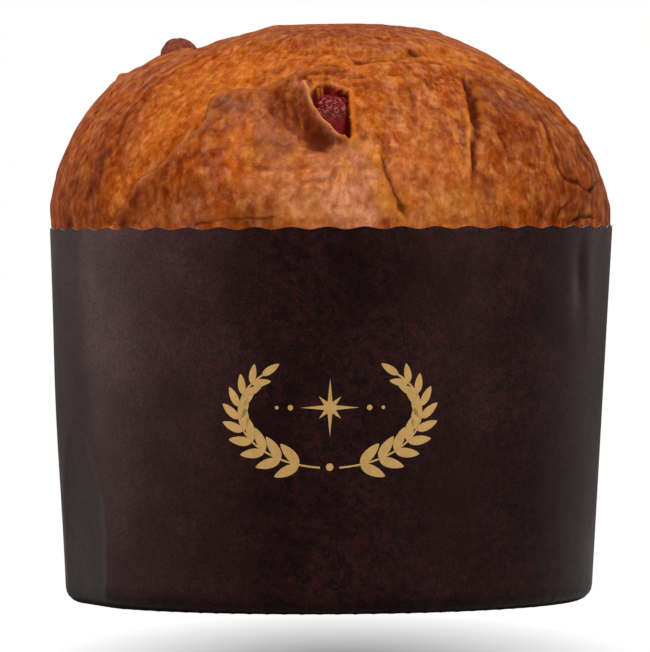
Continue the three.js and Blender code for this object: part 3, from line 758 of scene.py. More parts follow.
def crust_material(looks):
    """Baked crust: streaks and patches of browns, with the folds, tears and pale places as painted, and
    painted shade, sheen and highlights among them.
    """
    material, tree, shader = new_material("baked_crust")
    place = tree.nodes.new("ShaderNodeTexCoord").outputs["Object"]
    masks = {name: add_node(tree, "Attribute", attribute_name=name).outputs["Fac"]
             for name in (*Crust.MASKS, "curve", "seam")}
    grain_place = add_node(tree, "Attribute", attribute_name="grain").outputs["Vector"]
    fan_place = add_node(tree, "Attribute", attribute_name="fan").outputs["Vector"]
    upright = noise_texture(tree, grain_place, 0.8, 6.0, 0.74, 0.35).outputs[0]
    fanned = noise_texture(tree, fan_place, 0.8, 6.0, 0.74).outputs[0]
    streaks = add_node(tree, "Mix", {0: masks["fanned"], 2: upright, 3: fanned}).outputs[0]
    mottle, grain = add_speckle(tree, place, 330.0, 0.4)
    blotch, speck = add_speckle(tree, place, 85.0, 0.38)

    # The plain crust, with broad patches of orange, dark brown and rose, the rose ones partly a painted
    # sheen
    colour = mix_colours(tree, map_range(tree, blotch, 0.15, 0.85), looks.baked_deep, looks.baked)
    patch = noise_texture(tree, grain_place, 0.2, 4.0, 0.6)
    orange_patch = map_range(tree, patch.outputs[0], 0.5, 0.62, 0.0, 0.8)
    colour = mix_colours(tree, orange_patch, colour, looks.bare_deep)
    dark_patch = map_range(tree, patch.outputs[0], 0.47, 0.38, 0.0, 0.82)
    colour = mix_colours(tree, dark_patch, colour, looks.toasted)
    rosy_patch = add_node(tree, "SeparateColor", {0: patch.outputs["Color"]}).outputs[1]
    colour = mix_colours(tree, map_range(tree, rosy_patch, 0.5, 0.64, 0.0, 0.4), colour, looks.pale)
    # What is painted on it: pale crust that is partly a painted highlight, torn surface, toasted places that
    # are partly painted shade, and a purple-grey painted sheen
    colour = mix_colours(tree, masks["pale"], colour, looks.pale)
    bare = mix_colours(tree, map_range(tree, blotch, 0.2, 0.8), looks.bare_deep, looks.bare)
    colour = mix_colours(tree, masks["bare"], colour, bare)
    toast = times(tree, masks["toast"], map_range(tree, blotch, 0.0, 1.0, 1.15, 0.6))
    colour = mix_colours(tree, toast, colour, looks.toasted)
    grey = times(tree, masks["grey"], map_range(tree, mottle, 0.2, 0.8, 0.7, 1.0))
    colour = mix_colours(tree, grey, colour, looks.grey)
    # Small dabs: rosy ones that are partly painted highlights and gold ones, both fading on toasted places
    # and the painted sheen, and ruddy ones
    dabs = noise_texture(tree, grain_place, 0.34, 3.0, 0.6)
    dabs = add_node(tree, "SeparateColor", {0: dabs.outputs["Color"]}).outputs
    covered = maths(tree, "MAXIMUM", times(tree, toast, 0.7), times(tree, grey, 0.9))
    plain = maths(tree, "SUBTRACT", 1.0, covered)
    rosy = times(tree, map_range(tree, dabs[0], 0.5, 0.7, 0.0, 0.28), plain)
    colour = mix_colours(tree, rosy, colour, looks.pale)
    colour = mix_colours(tree, map_range(tree, dabs[1], 0.5, 0.66, 0.0, 0.5), colour, looks.ruddy)
    gold = times(tree, map_range(tree, dabs[2], 0.5, 0.66, 0.0, 0.5), plain)
    gold = maths(tree, "MAXIMUM", gold, times(tree, masks["gold"], 0.85))
    colour = mix_colours(tree, gold, colour, looks.golden)

    # A painted glow in a narrow line over the paper, and darker towards the top, partly for more baking
    # there and partly as painted shade
    height = add_node(tree, "SeparateXYZ", {0: place}).outputs["Z"]
    glow = map_range(tree, height, RIM_HEIGHT, RIM_HEIGHT + 3.5 * MM, 0.3, 0.0)
    colour = mix_colours(tree, glow, colour, looks.bare_deep)
    high = map_range(tree, height, RIM_HEIGHT, RIM_HEIGHT + 34 * MM, 0.02, 0.13)
    colour = mix_colours(tree, high, colour, looks.toasted)

    # Fine streaks over all of it, with painted highlights on their light side; then painted shade in folds,
    # hollows and along crease lines, painted highlights on crests, specks, and the dark red painted shade in
    # the cherry's pocket
    tone = maths(tree, "ADD", times(tree, streaks, 0.75), times(tree, mottle, 0.25))
    shade = mix_colours(tree, map_range(tree, tone, 0.32, 0.64), looks.streak_dark, looks.streak_light)
    colour = mix_colours(tree, 1.0, colour, shade, blend="MULTIPLY")
    # Painted highlights on the light side of the streaks
    light = times(tree, map_range(tree, tone, 0.54, 0.74, 0.0, 0.3), plain)
    colour = mix_colours(tree, light, colour, looks.pale)
    # Painted shade in hollows and folds, painted highlights on crests
    hollow = map_range(tree, masks["curve"], 0.0, -1.0)
    crest = map_range(tree, masks["curve"], 0.0, 1.0)
    away = map_range(tree, maths(tree, "ABSOLUTE", masks["seam"]), 0.15, 0.75, 1.0, 0.0)
    line = times(tree, away, masks["seam_depth"])
    dark = maths(tree, "MAXIMUM", masks["crease"], times(tree, hollow, 0.45))
    dark = maths(tree, "MAXIMUM", dark, line)
    colour = mix_colours(tree, times(tree, dark, 0.9), colour, looks.crease)
    colour = mix_colours(tree, times(tree, crest, 0.25), colour, looks.bare)
    colour = mix_colours(tree, times(tree, speck, 0.2), colour, looks.toasted)
    # Dark red painted shade inside the cherry's pocket
    colour = mix_colours(tree, masks["pocket_shade"], colour, looks.pocket_shade)
    tree.links.new(colour, shader.inputs["Base Color"])

    tree.links.new(map_range(tree, streaks, 0.35, 0.65, 0.36, 0.52), shader.inputs["Roughness"])
    set_inputs(shader, Specular_IOR_Level=0.015, Specular_Tint=(1.0, 0.38, 0.13, 1.0))
    relief = maths(tree, "ADD", streaks, times(tree, mottle, 0.5))
    relief = maths(tree, "SUBTRACT", relief, times(tree, line, 1.2))
    relief = maths(tree, "ADD", relief, times(tree, grain, 0.2))
    add_bump(tree, shader, relief, 0.7, 0.0003)
    return material


def case_material(looks):
    """Dark printed paper with a soft sheen, a clouded, flecked print and a painted sheen along its fold."""
    material, tree, shader = new_material("printed_paper")
    place = tree.nodes.new("ShaderNodeTexCoord").outputs["Object"]
    cloud, fleck = add_speckle(tree, place, 420.0, 0.4)
    blotch, black = add_speckle(tree, place, 190.0, 0.42)
    colour = mix_colours(tree, map_range(tree, cloud, 0.2, 0.8), looks.print_dark, looks.print_light)
    colour = mix_colours(tree, times(tree, fleck, 0.55), colour, looks.print_fleck)
    colour = mix_colours(tree, times(tree, black, 0.5), colour, looks.print_dark)
    drift = map_range(tree, noise_texture(tree, place, 42.0, 4.0, 0.6).outputs[0], 0.35, 0.62)
    colour = mix_colours(tree, map_range(tree, drift, 0.0, 1.0, 0.7, 0.0), colour, looks.print_dark)
    # A lighter line along the fold of the flattened place: a painted sheen where the fold catches the light
    fold = add_node(tree, "Attribute", attribute_name="fold").outputs["Fac"]
    painted_fold_sheen = map_range(tree, fold, 0.2, 2.2, 0.4, 0.0)
    colour = mix_colours(tree, painted_fold_sheen, colour, looks.painted_fold_sheen)
    tree.links.new(colour, shader.inputs["Base Color"])
    tree.links.new(map_range(tree, blotch, 0.0, 1.0, 0.29, 0.38), shader.inputs["Roughness"])
    grit = noise_texture(tree, place, 1500.0, 2.0, 0.7).outputs[0]
    varnish = times(tree, map_range(tree, grit, 0.3, 0.7, 0.03, 0.34),
                    map_range(tree, drift, 0.0, 1.0, 0.7, 1.3))
    tree.links.new(varnish, shader.inputs["Coat Weight"])
    set_inputs(shader, Coat_Roughness=0.33, Specular_IOR_Level=0.2, Specular_Tint=(1.0, 0.42, 0.4, 1.0))
    fibre = noise_texture(tree, place, 1100.0, 3.0).outputs[0]
    broad = noise_texture(tree, place, 45.0, 2.0).outputs[0]
    relief = maths(tree, "ADD", times(tree, fibre, 0.22), broad)
    relief = maths(tree, "ADD", relief, times(tree, painted_fold_sheen, 0.4))
    add_bump(tree, shader, relief, 0.35, 0.0004)
    return material


def plain_paper_material(name, pale, deep):
    """Uncoated paper or card with fibres in it."""
    material, tree, shader = new_material(name)
    place = tree.nodes.new("ShaderNodeTexCoord").outputs["Object"]
    cloud, speck = add_speckle(tree, place, 350.0, 0.38)
    colour = mix_colours(tree, cloud, deep, pale)
    colour = mix_colours(tree, times(tree, speck, 0.4), colour, deep)
    tree.links.new(colour, shader.inputs["Base Color"])
    set_inputs(shader, Roughness=0.85)
    add_bump(tree, shader, cloud, 0.3, 0.0002)
    return material


def foil_material(looks):
    """Gold foil with a faint cloud in it."""
    material, tree, shader = new_material("gold_foil")
    place = tree.nodes.new("ShaderNodeTexCoord").outputs["Object"]
    cloud, speck = add_speckle(tree, place, 500.0, 0.36)
    colour = mix_colours(tree, cloud, looks.foil_deep, looks.foil)
    tree.links.new(colour, shader.inputs["Base Color"])
    set_inputs(shader, Metallic=0.35)
    tree.links.new(map_range(tree, speck, 0.0, 1.0, 0.42, 0.55), shader.inputs["Roughness"])
    add_bump(tree, shader, cloud, 0.2, 0.0001)
    return material


def fruit_material(name, flesh, deep, sugar_and_sheen, sugar_from, roughness, shine):
    """The skin of a fruit: darker in its folds as painted shade, with a little sugar and a painted highlight
    on it above a height.
    """
    material, tree, shader = new_material(name)
    place = tree.nodes.new("ShaderNodeTexCoord").outputs["Object"]
    cloud, speck = add_speckle(tree, place, 600.0, 0.42)
    height = add_node(tree, "SeparateXYZ", {0: place}).outputs["Z"]
    upper = map_range(tree, height, sugar_from, sugar_from + 4 * MM)
    # Darker where the skin dips: painted shade in its folds
    colour = mix_colours(tree, cloud, deep, flesh)
    # Sugar specks and soft pinkish patches above a height: partly sugar, partly a painted highlight on the
    # top
    frost_and_sheen = maths(tree, "MAXIMUM", times(tree, speck, 0.3),
                  map_range(tree, cloud, 0.55, 0.85, 0.0, 0.2))
    colour = mix_colours(tree, times(tree, frost_and_sheen, upper), colour, sugar_and_sheen)
    tree.links.new(colour, shader.inputs["Base Color"])
    tree.links.new(map_range(tree, cloud, 0.0, 1.0, roughness, roughness + 0.15), shader.inputs["Roughness"])
    set_inputs(shader, Specular_IOR_Level=shine, Subsurface_Weight=0.15,
               Subsurface_Radius=(0.004, 0.001, 0.0005))
    add_bump(tree, shader, cloud, 0.5, 0.0003)
    return material


class BreadCaseSettings(bpy.types.PropertyGroup):
    """Sizes and colours of the paper case."""

    scallops: IntProperty(name="Scallops", description="Waves round the rim", default=50, min=8)
    columns: IntProperty(name="Columns per scallop", description="Faces across one wave", default=12, min=4)
    paper: FloatProperty(name="Paper", description="Thickness of the paper", default=0.2 * MM, unit="LENGTH")
    print_dark: FloatVectorProperty(name="Dark print", description="Darkest brown of the print",
                                    subtype="COLOR", default=(0.0008, 0.0003, 0.0003))
    print_light: FloatVectorProperty(name="Light print", description="Lighter brown of the print",
                                     subtype="COLOR", default=(0.0155, 0.003, 0.003))
    print_fleck: FloatVectorProperty(name="Flecks", description="Reddish flecks of the print",
                                     subtype="COLOR", default=(0.03, 0.0072, 0.006))
    # Painted sheen along the fold of the paper
    painted_fold_sheen: FloatVectorProperty(name="Worn fold", description="Lighter line where the paper is folded",
                              subtype="COLOR", default=(0.06, 0.04, 0.038))
    cut: FloatVectorProperty(name="Cut edge", description="Bare paper at the cut rim",
                             subtype="COLOR", default=(0.42, 0.34, 0.3))
    card: FloatVectorProperty(name="Card", description="Uncoated card under the loaf",
                              subtype="COLOR", default=(0.16, 0.085, 0.045))


class BreadCrustSettings(bpy.types.PropertyGroup):
    """Form and colours of the baked crust."""

    fineness: IntProperty(name="Fineness", description="Subdivisions of the dome", default=8, min=5, max=8)
    crowding: FloatProperty(name="Crowding", description="How much finer the front is", default=0.28,
                            max=0.5)
    baked: FloatVectorProperty(name="Baked", description="Golden brown crust", subtype="COLOR",
                               default=(0.345, 0.087, 0.015))
    baked_deep: FloatVectorProperty(name="Deep baked", description="Deeper brown crust", subtype="COLOR",
                                    default=(0.27, 0.046, 0.003))
    toasted: FloatVectorProperty(name="Toasted", description="Darkest, reddish brown crust", subtype="COLOR",
                                 default=(0.125, 0.018, 0.0015))
    bare: FloatVectorProperty(name="Bare", description="Torn surface that baked less", subtype="COLOR",
                              default=(0.5, 0.15, 0.018))
    bare_deep: FloatVectorProperty(name="Deep bare", description="Deeper orange of the torn surface",
                                   subtype="COLOR", default=(0.42, 0.088, 0.005))
    # Pale crust, also used for painted highlights
    pale: FloatVectorProperty(name="Pale", description="Pale, rosy crust", subtype="COLOR",
                              default=(0.59, 0.257, 0.143))
    # Painted sheen on dark crust
    grey: FloatVectorProperty(name="Grey edge", description="Purple-grey of scorched edges", subtype="COLOR",
                              default=(0.17, 0.068, 0.045))
    # Painted shade in folds, creases and pits
    crease: FloatVectorProperty(name="Crease", description="Deep red-brown in folds", subtype="COLOR",
                                default=(0.05, 0.006, 0.002))
    ruddy: FloatVectorProperty(name="Ruddy", description="Small red-brown dabs", subtype="COLOR",
                               default=(0.22, 0.024, 0.004))
    golden: FloatVectorProperty(name="Golden", description="Small yellow-gold dabs", subtype="COLOR",
                                default=(0.58, 0.235, 0.04))
    # Dark red painted shade in the cherry's pocket
    pocket_shade: FloatVectorProperty(name="Juice", description="Cherry juice in the pocket", subtype="COLOR",
                               default=(0.075, 0.004, 0.003))
    streak_dark: FloatVectorProperty(name="Dark streaks", description="Tint of the darker streaks",
                                     subtype="COLOR", default=(0.56, 0.37, 0.2))
    streak_light: FloatVectorProperty(name="Light streaks", description="Tint of the lighter streaks",
                                      subtype="COLOR", default=(1.0, 1.0, 1.0))


class BreadFruitSettings(bpy.types.PropertyGroup):
    """Colours of the fruit in the crust."""

    cherry: FloatVectorProperty(name="Cherry", description="Candied cherry flesh", subtype="COLOR",
                                default=(0.14, 0.003, 0.003))
    cherry_deep: FloatVectorProperty(name="Deep cherry", description="Darkest cherry", subtype="COLOR",
                                     default=(0.055, 0.001, 0.001))
    raisin: FloatVectorProperty(name="Raisin", description="Dried fruit skin", subtype="COLOR",
                                default=(0.2, 0.055, 0.026))
    raisin_deep: FloatVectorProperty(name="Deep raisin", description="Darkest dried fruit", subtype="COLOR",
                                     default=(0.09, 0.02, 0.01))
    # Sugar on the fruit, also the colour of its painted highlights
    sugar_and_sheen: FloatVectorProperty(name="Sugar", description="Sugar on the fruit", subtype="COLOR",
                               default=(0.6, 0.3, 0.25))


class BreadOrnamentSettings(bpy.types.PropertyGroup):
    """The gold wreath printed on the front of the case."""

    width: FloatProperty(name="Width", description="Width of the wreath", default=62 * MM, unit="LENGTH")
    height: FloatProperty(name="Height", description="Height of the wreath", default=38 * MM, unit="LENGTH")
    middle: FloatProperty(name="Middle", description="Height of its middle above the table", default=59 * MM,
                          unit="LENGTH")
    foil: FloatVectorProperty(name="Gold", description="Gold of the print", subtype="COLOR",
                              default=(0.56, 0.36, 0.12))
    foil_deep: FloatVectorProperty(name="Deep gold", description="Deeper gold", subtype="COLOR",
                                   default=(0.47, 0.29, 0.09))


class BreadStudioSettings(bpy.types.PropertyGroup):
    """Camera and lights."""

    eye_distance: FloatProperty(name="Eye distance", description="Camera to the middle", default=1.87,
                                unit="LENGTH")
    side_power: FloatProperty(name="Side lights", description="Power of the strongest side light in watts",
                              default=6.2, unit="POWER")
    front_power: FloatProperty(name="Front light", description="Power of the front light in watts",
                               default=35.0, unit="POWER")
    top_power: FloatProperty(name="Top light", description="Power of the top light in watts", default=3.5,
                             unit="POWER")


def wall_radius(height):
    """Radius of the paper wall at a height above the table."""
    return RIM_RADIUS - WALL_TAPER * (RIM_HEIGHT - height)


def flat_cosine(height):
    """Cosine of the half width of the flattened place, which narrows to nothing at its top."""
    fade = np.clip((FLAT_TOP_HEIGHT - height) / (FLAT_TOP_HEIGHT - FLAT_FULL_HEIGHT), 0, 1)
    return 1 - (1 - math.cos(FLAT_HALF_WIDTH)) * fade


def settle(points):
    """Leans points in or on the case to the left at the foot, and presses the flattened place in."""
    azimuth = np.arctan2(points[:, 0], -points[:, 1])
    radius = np.hypot(points[:, 0], points[:, 1])
    turn = np.minimum(np.abs(azimuth - FLAT_AZIMUTH), FLAT_HALF_WIDTH)
    plane = flat_cosine(points[:, 2])
    depth = radius * np.maximum(0, 1 - plane / np.cos(turn)) * (radius > FLANGE_RADIUS + MM)
    settled = points.copy()
    settled[:, :2] *= ((radius - depth) / np.maximum(radius, MM))[:, None]
    settled[:, 0] += LEAN * np.minimum(points[:, 2] - RIM_HEIGHT, 0)
    return settled


def spun(outline, columns):
    """Spins an outline of (radius, height) points round the vertical axis."""
    form = bmesh.new()
    corners = [form.verts.new((0, -radius, height)) for radius, height in outline]
    edges = [form.edges.new(pair) for pair in zip(corners, corners[1:])]
    bmesh.ops.spin(form, geom=corners + edges, cent=(0, 0, 0), axis=(0, 0, 1), angle=2 * math.pi,
                   steps=columns, use_merge=True, use_normal_flip=False, use_duplicate=False)
    bmesh.ops.remove_doubles(form, verts=form.verts[:], dist=0.01 * MM)
    bmesh.ops.recalc_face_normals(form, faces=form.faces[:])
    return form


def fold_distance(points):
    """Distance in millimetres from the fold at the front edge of the flattened place."""
    turn = np.arctan2(points[:, 0], -points[:, 1]) - FLAT_AZIMUTH
    distance = (turn - np.arccos(flat_cosine(points[:, 2]))) * RIM_RADIUS / MM
    beyond = smoothstep(FLAT_TOP_HEIGHT - 3 * MM, FLAT_TOP_HEIGHT, points[:, 2])
    beneath = smoothstep(CORNER_HEIGHT + 3 * MM, CORNER_HEIGHT, points[:, 2])
    return np.abs(distance) + 9 * np.maximum(beyond, beneath)


def dented(points, looks):
    """The waved rim, the pleated foot, the lapped seam behind and the small buckles of the wall."""
    azimuth = np.arctan2(points[:, 0], -points[:, 1])
    radius = np.hypot(points[:, 0], points[:, 1])
    height = points[:, 2].copy()
    rise = smoothstep(RIM_HEIGHT - 9 * MM, RIM_HEIGHT, height)
    points[:, 2] += rise * WAVE_DEPTH / 2 * np.cos(looks.scallops * (azimuth - SCALLOP_START))
    out = np.zeros(len(points))
    degrees = np.degrees(azimuth)
    for middle, low, width, tall, depth in (
        (61, 99, 2.2, 9, 0.8), (66, 92, 2.5, 12, -0.35), (-50, 88, 9, 26, 0.35), (48, 45, 12, 30, -0.3),
        (-84, 58, 10, 30, -0.7), (12, 28, 20, 18, 0.25), (120, 50, 10, 24, -0.7),
        (-150, 66, 14, 22, -0.6), (160, 30, 9, 18, -0.5), (-115, 40, 8, 20, 0.4),
    ):
        turn = (degrees - middle + 180) % 360 - 180
        out -= depth * MM * bell(turn, width) * bell(height / MM - low, tall)
    lap = ((degrees > 174) | (degrees < -178.5)) & (height > CORNER_HEIGHT / 2)
    out += looks.paper * lap
    foot = smoothstep(CORNER_HEIGHT, 0, height)
    pleat = np.abs(((degrees / 4.0) % 1) - 0.5) * 2
    out -= 0.25 * MM * foot * pleat
    flat = height < 0.01 * MM
    points[:, 2] += np.where(flat, 0.35 * MM * pleat, 0)
    scale = (radius + out) / radius
    points[:, 0] *= scale
    points[:, 1] *= scale
    return points


class BREAD_OT_case(bpy.types.Operator):
    """Makes the paper wall with its waved rim, and finishes the card under the loaf"""

    bl_idname = "bread.make_case"
    bl_label = "Paper case"

    def execute(self, context):
        looks = context.scene.bread_case
        corner = wall_radius(CORNER_HEIGHT)
        rows = [(wall_radius(h), h) for h in np.linspace(CORNER_HEIGHT, RIM_HEIGHT, 42)]
        flange = [(radius, 0.0) for radius in np.linspace(FLANGE_RADIUS, FOOT_RADIUS, 5)]
        turns = (math.pi / 10, math.pi / 5, 3 * math.pi / 10, 2 * math.pi / 5)
        slope = [(FOOT_RADIUS + (corner - FOOT_RADIUS) * math.sin(turn),
                  CORNER_HEIGHT * (1 - math.cos(turn))) for turn in turns]
        form = spun(flange + slope + rows, looks.scallops * looks.columns)
        for edge in form.edges:
            edge.smooth = not edge.is_boundary
        material = case_material(looks)
        piece = give_mesh("paper_wall", form, material, "case_paper", "case_wall")
        mesh = piece.data
        write_attribute(mesh, "fold", fold_distance(read_points(mesh)))
        mesh.materials.append(
            plain_paper_material("cut_paper", looks.cut, tuple(0.7 * c for c in looks.cut)))
        write_points(mesh, settle(dented(read_points(mesh), looks)))
        thicken = piece.modifiers.new("Paper", "SOLIDIFY")
        thicken.thickness = looks.paper
        thicken.offset = -1
        thicken.use_even_offset = True
        thicken.material_offset_rim = 1
        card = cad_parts["case_base"]
        card.data.materials.clear()
        card.data.materials.append(
            plain_paper_material("brown_card", looks.card, tuple(0.55 * c for c in looks.card)))
        return {"FINISHED"}


def plain_dome(way):
    """The plain dome's points and normals in millimetres, for directions from its middle."""
    flat = np.hypot(way[:, 0], way[:, 1])
    reach = ((flat / DOME_RADIUS) ** DOME_POWER
             + (np.abs(way[:, 2]) / DOME_HEIGHT) ** DOME_POWER) ** (-1 / DOME_POWER)
    point = way * reach[:, None]
    radius = np.maximum(np.hypot(point[:, 0], point[:, 1]), 1e-6)
    outwards = (radius / DOME_RADIUS) ** (DOME_POWER - 1) / DOME_RADIUS / radius
    upwards = (np.abs(point[:, 2]) / DOME_HEIGHT) ** (DOME_POWER - 1) / DOME_HEIGHT
    normal = np.column_stack([outwards * point[:, 0], outwards * point[:, 1], upwards])
    return point, normal / np.linalg.norm(normal, axis=1)[:, None]


def finish_crust(mesh, crust):
    """Moves the mesh to the folded crust, and stores the masks that its finish reads."""
    height = crust.point[:, 2]
    fade = smoothstep(-1.5, 1.5, height)
    tuck = RIM_CLEARANCE * (1 - smoothstep(0, 7, height))
    moved = crust.point + crust.normal * (crust.lift * fade - tuck)[:, None]
    moved += crust.slide * fade[:, None]
    radius = np.hypot(moved[:, 0], moved[:, 1])
    limit = DOME_RADIUS - RIM_CLEARANCE + 0.4 * smoothstep(0.5, 3.5, moved[:, 2])
    shrink = np.minimum(1, limit / np.maximum(radius, 1e-6))
    moved[:, :2] *= shrink[:, None]
    moved[:, 2] = np.clip(moved[:, 2], 0, (LOAF_TOP - RIM_HEIGHT) / MM)
    world = moved * MM
    world[:, 2] += RIM_HEIGHT
    write_points(mesh, world)
    for name, values in crust.masks.items():
        write_attribute(mesh, name, np.clip(values, 0, 1))
    write_attribute(mesh, "curve", curvature(mesh, moved))
    write_attribute(mesh, "grain", crust.grain)
    write_attribute(mesh, "fan", crust.fan)
    write_attribute(mesh, "seam", crust.seam)


def curvature(mesh, points):
    """How much each point stands out from its surroundings, about -1 in folds and 1 on crests."""
    edges = np.empty(len(mesh.edges) * 2, np.int32)
    mesh.edges.foreach_get("vertices", edges)
    a, b = edges.reshape(-1, 2).T
    count = np.bincount(a, minlength=len(points)) + np.bincount(b, minlength=len(points))

    def spread(values):
        total = np.bincount(a, values[b], len(points)) + np.bincount(b, values[a], len(points))
        return total / count

    smoothed = points.copy()
    for _ in range(6):
        smoothed = np.column_stack([spread(smoothed[:, i]) for i in range(3)])
    normals = np.empty(len(points) * 3, np.float32)
    mesh.vertices.foreach_get("normal", normals)
    value = np.einsum("ij,ij->i", points - smoothed, normals.reshape(-1, 3))
    return np.clip(value / CURVE_RANGE, -1, 1)


def add_hidden_part(mesh):
    """Carries the open edge of the dome down inside the paper and closes it on the card."""
    form = bmesh.new()
    form.from_mesh(mesh)
    edges = [edge for edge in form.edges if edge.is_boundary]
    bottom = CARD_TOP + 0.1 * MM
    clear = 1.0 * MM
    for radius, height in ((wall_radius(RIM_HEIGHT) - clear, RIM_HEIGHT - 3 * MM),
                           (wall_radius(FLAT_TOP_HEIGHT) - clear, FLAT_TOP_HEIGHT),
                           (wall_radius(FLAT_FULL_HEIGHT) - clear, FLAT_FULL_HEIGHT),
                           (wall_radius(CORNER_HEIGHT) - clear, CORNER_HEIGHT + 1 * MM),
                           (FOOT_RADIUS, bottom)):
        grown = bmesh.ops.extrude_edge_only(form, edges=edges)["geom"]
        corners = [item for item in grown if isinstance(item, bmesh.types.BMVert)]
        edges = [item for item in grown if isinstance(item, bmesh.types.BMEdge)
                 and all(end in corners for end in item.verts) and item.is_boundary]
        ring = np.array([corner.co for corner in corners])
        ring[:, :2] *= (radius / np.hypot(ring[:, 0], ring[:, 1]))[:, None]
        ring[:, 2] = height
        for corner, place in zip(corners, settle(ring)):
            corner.co = place
    bmesh.ops.contextual_create(form, geom=edges)
    bmesh.ops.recalc_face_normals(form, faces=form.faces[:])
    form.to_mesh(mesh)
    form.free()
    mesh.shade_smooth()


class BREAD_OT_loaf(bpy.types.Operator):
    """Makes the loaf: a finely folded dome above the rim and the plain part inside the case"""

    bl_idname = "bread.make_loaf"
    bl_label = "Loaf"

    def execute(self, context):
        looks = context.scene.bread_crust
        form = bmesh.new()
        bmesh.ops.create_icosphere(form, subdivisions=looks.fineness, radius=1.0)
        bmesh.ops.bisect_plane(form, geom=form.verts[:] + form.edges[:] + form.faces[:], dist=1e-5,
                               plane_co=(0, 0, 0), plane_no=(0, 0, 1), clear_inner=True)
        bmesh.ops.recalc_face_normals(form, faces=form.faces[:])
        piece = give_mesh("loaf_crust", form, crust_material(looks), "crust", "loaf")
        mesh = piece.data
        way = read_points(mesh)
        way[:, 1] -= looks.crowding
        way /= np.linalg.norm(way, axis=1)[:, None]
        point, normal = plain_dome(way)
        crust = Crust(point, normal)
        shape_front(crust)
        shape_back(crust)
        shape_broad(crust)
        stain_crust(crust)
        finish_crust(mesh, crust)
        add_hidden_part(mesh)
        return {"FINISHED"}


def make_fruit(name, low, high, material, slot, node, shape):
    """A fruit inside its solid's box: a finely divided ball whose corners the shape moves."""
    form = bmesh.new()
    bmesh.ops.create_icosphere(form, subdivisions=6, radius=1.0)
    middle, half = (low + high) / 2, (high - low) / 2
    for corner in form.verts:
        place = shape(corner.co.copy())
        corner.co = middle + Vector((place.x * half.x, place.y * half.y, place.z * half.z))
    bmesh.ops.recalc_face_normals(form, faces=form.faces[:])
    return give_mesh(name, form, material, slot, node)


def cherry_shape(place):
    """A cherry squeezed flat in its pocket: broad at the top, narrow below, with a dimpled skin."""
    boxy = (abs(place.x) ** 3.5 + abs(place.y) ** 3.5 + abs(place.z) ** 3.5) ** (-1 / 3.5)
    dimple = 1 - 0.05 * abs(noise.fractal(place * 2.6 + SEED, 1.0, 2.0, 3))
    place = place * boxy * dimple
    narrow = 0.95 - 0.45 * smoothstep(0.3, -1.0, place.z)
    return Vector((place.x * narrow - 0.04 * place.z, place.y * 0.42 + 0.57 * place.z, place.z))


def raisin_shape(place):
    """A plump raisin with a few soft folds."""
    fold = abs(noise.noise(Vector((place.x * 1.6, place.y * 1.6, place.z * 0.8)) + SEED))
    fine = noise.fractal(place * 3.5 + SEED, 1.0, 2.0, 2)
    return place * (0.99 - 0.07 * math.exp(-((fold / 0.12) ** 2)) - 0.03 * (1 + fine))


class BREAD_OT_cherry(bpy.types.Operator):
    """Makes the candied cherry in its pocket in the crust"""

    bl_idname = "bread.make_cherry"
    bl_label = "Candied cherry"

    def execute(self, context):
        looks = context.scene.bread_fruit
        skin = fruit_material("candied_cherry", looks.cherry, looks.cherry_deep, looks.sugar_and_sheen,
                              CHERRY_HIGH.z - 8 * MM, 0.4, 0.03)
        make_fruit("candied_cherry", CHERRY_LOW, CHERRY_HIGH, skin, "candied_fruit", "cherry", cherry_shape)
        return {"FINISHED"}


class BREAD_OT_raisin(bpy.types.Operator):
    """Makes the raisin that stands up out of the crust"""

    bl_idname = "bread.make_raisin"
    bl_label = "Raisin"

    def execute(self, context):
        looks = context.scene.bread_fruit
        skin = fruit_material("dried_raisin", looks.raisin, looks.raisin_deep, looks.sugar_and_sheen,
                              RAISIN_HIGH.z, 0.5, 0.06)
        make_fruit("dried_raisin", RAISIN_LOW, RAISIN_HIGH, skin, "dried_fruit", "raisin", raisin_shape)
        return {"FINISHED"}


def add_leaf(form, middle, angle, length, width):
    """A pointed leaf lying flat, as a fan of faces round its middle."""
    made = bmesh.ops.create_circle(form, cap_ends=True, cap_tris=True, segments=20, radius=1.0)["verts"]
    for corner in made:
        x, y = corner.co.x, corner.co.y
        corner.co = Vector((x * length / 2, y * abs(y) ** 0.35 * (1 - 0.25 * x) * width / 2, 0))
    turn_and_place(made, middle, angle)


def turn_and_place(corners, middle, angle):
    """Turns flat corners round the origin, then moves them to their place."""
    cosine, sine = math.cos(angle), math.sin(angle)
    for corner in corners:
        x, y = corner.co.x, corner.co.y
        corner.co = Vector((middle[0] + x * cosine - y * sine, middle[1] + x * sine + y * cosine, 0))


def add_star(form, middle, long, short, waist):
    """An eight-pointed star with four long and four short points."""
    made = bmesh.ops.create_circle(form, cap_ends=True, cap_tris=True, segments=16, radius=1.0)["verts"]
    for corner in made:
        if corner.co.length > 0.5:
            step = round(math.atan2(corner.co.y, corner.co.x) / (math.pi / 8)) % 16
            radius = waist if step % 2 else (long if step % 4 == 0 else short)
            corner.co = corner.co.normalized() * radius
    turn_and_place(made, middle, 0)


def add_dot(form, middle, radius):
    """A round dot lying flat."""
    made = bmesh.ops.create_circle(form, cap_ends=True, cap_tris=True, segments=16, radius=radius)["verts"]
    turn_and_place(made, middle, 0)


def add_strip(form, points, width):
    """A narrow strip of faces along a line of points."""
    rows = []
    for i, (x, y) in enumerate(points):
        x0, y0 = points[max(i - 1, 0)]
        x1, y1 = points[min(i + 1, len(points) - 1)]
        way = Vector((x1 - x0, y1 - y0)).normalized() * width / 2
        rows.append((form.verts.new((x - way.y, y + way.x, 0)), form.verts.new((x + way.y, y - way.x, 0))))
    for (a, b), (c, d) in zip(rows, rows[1:]):
        form.faces.new((a, b, d, c))


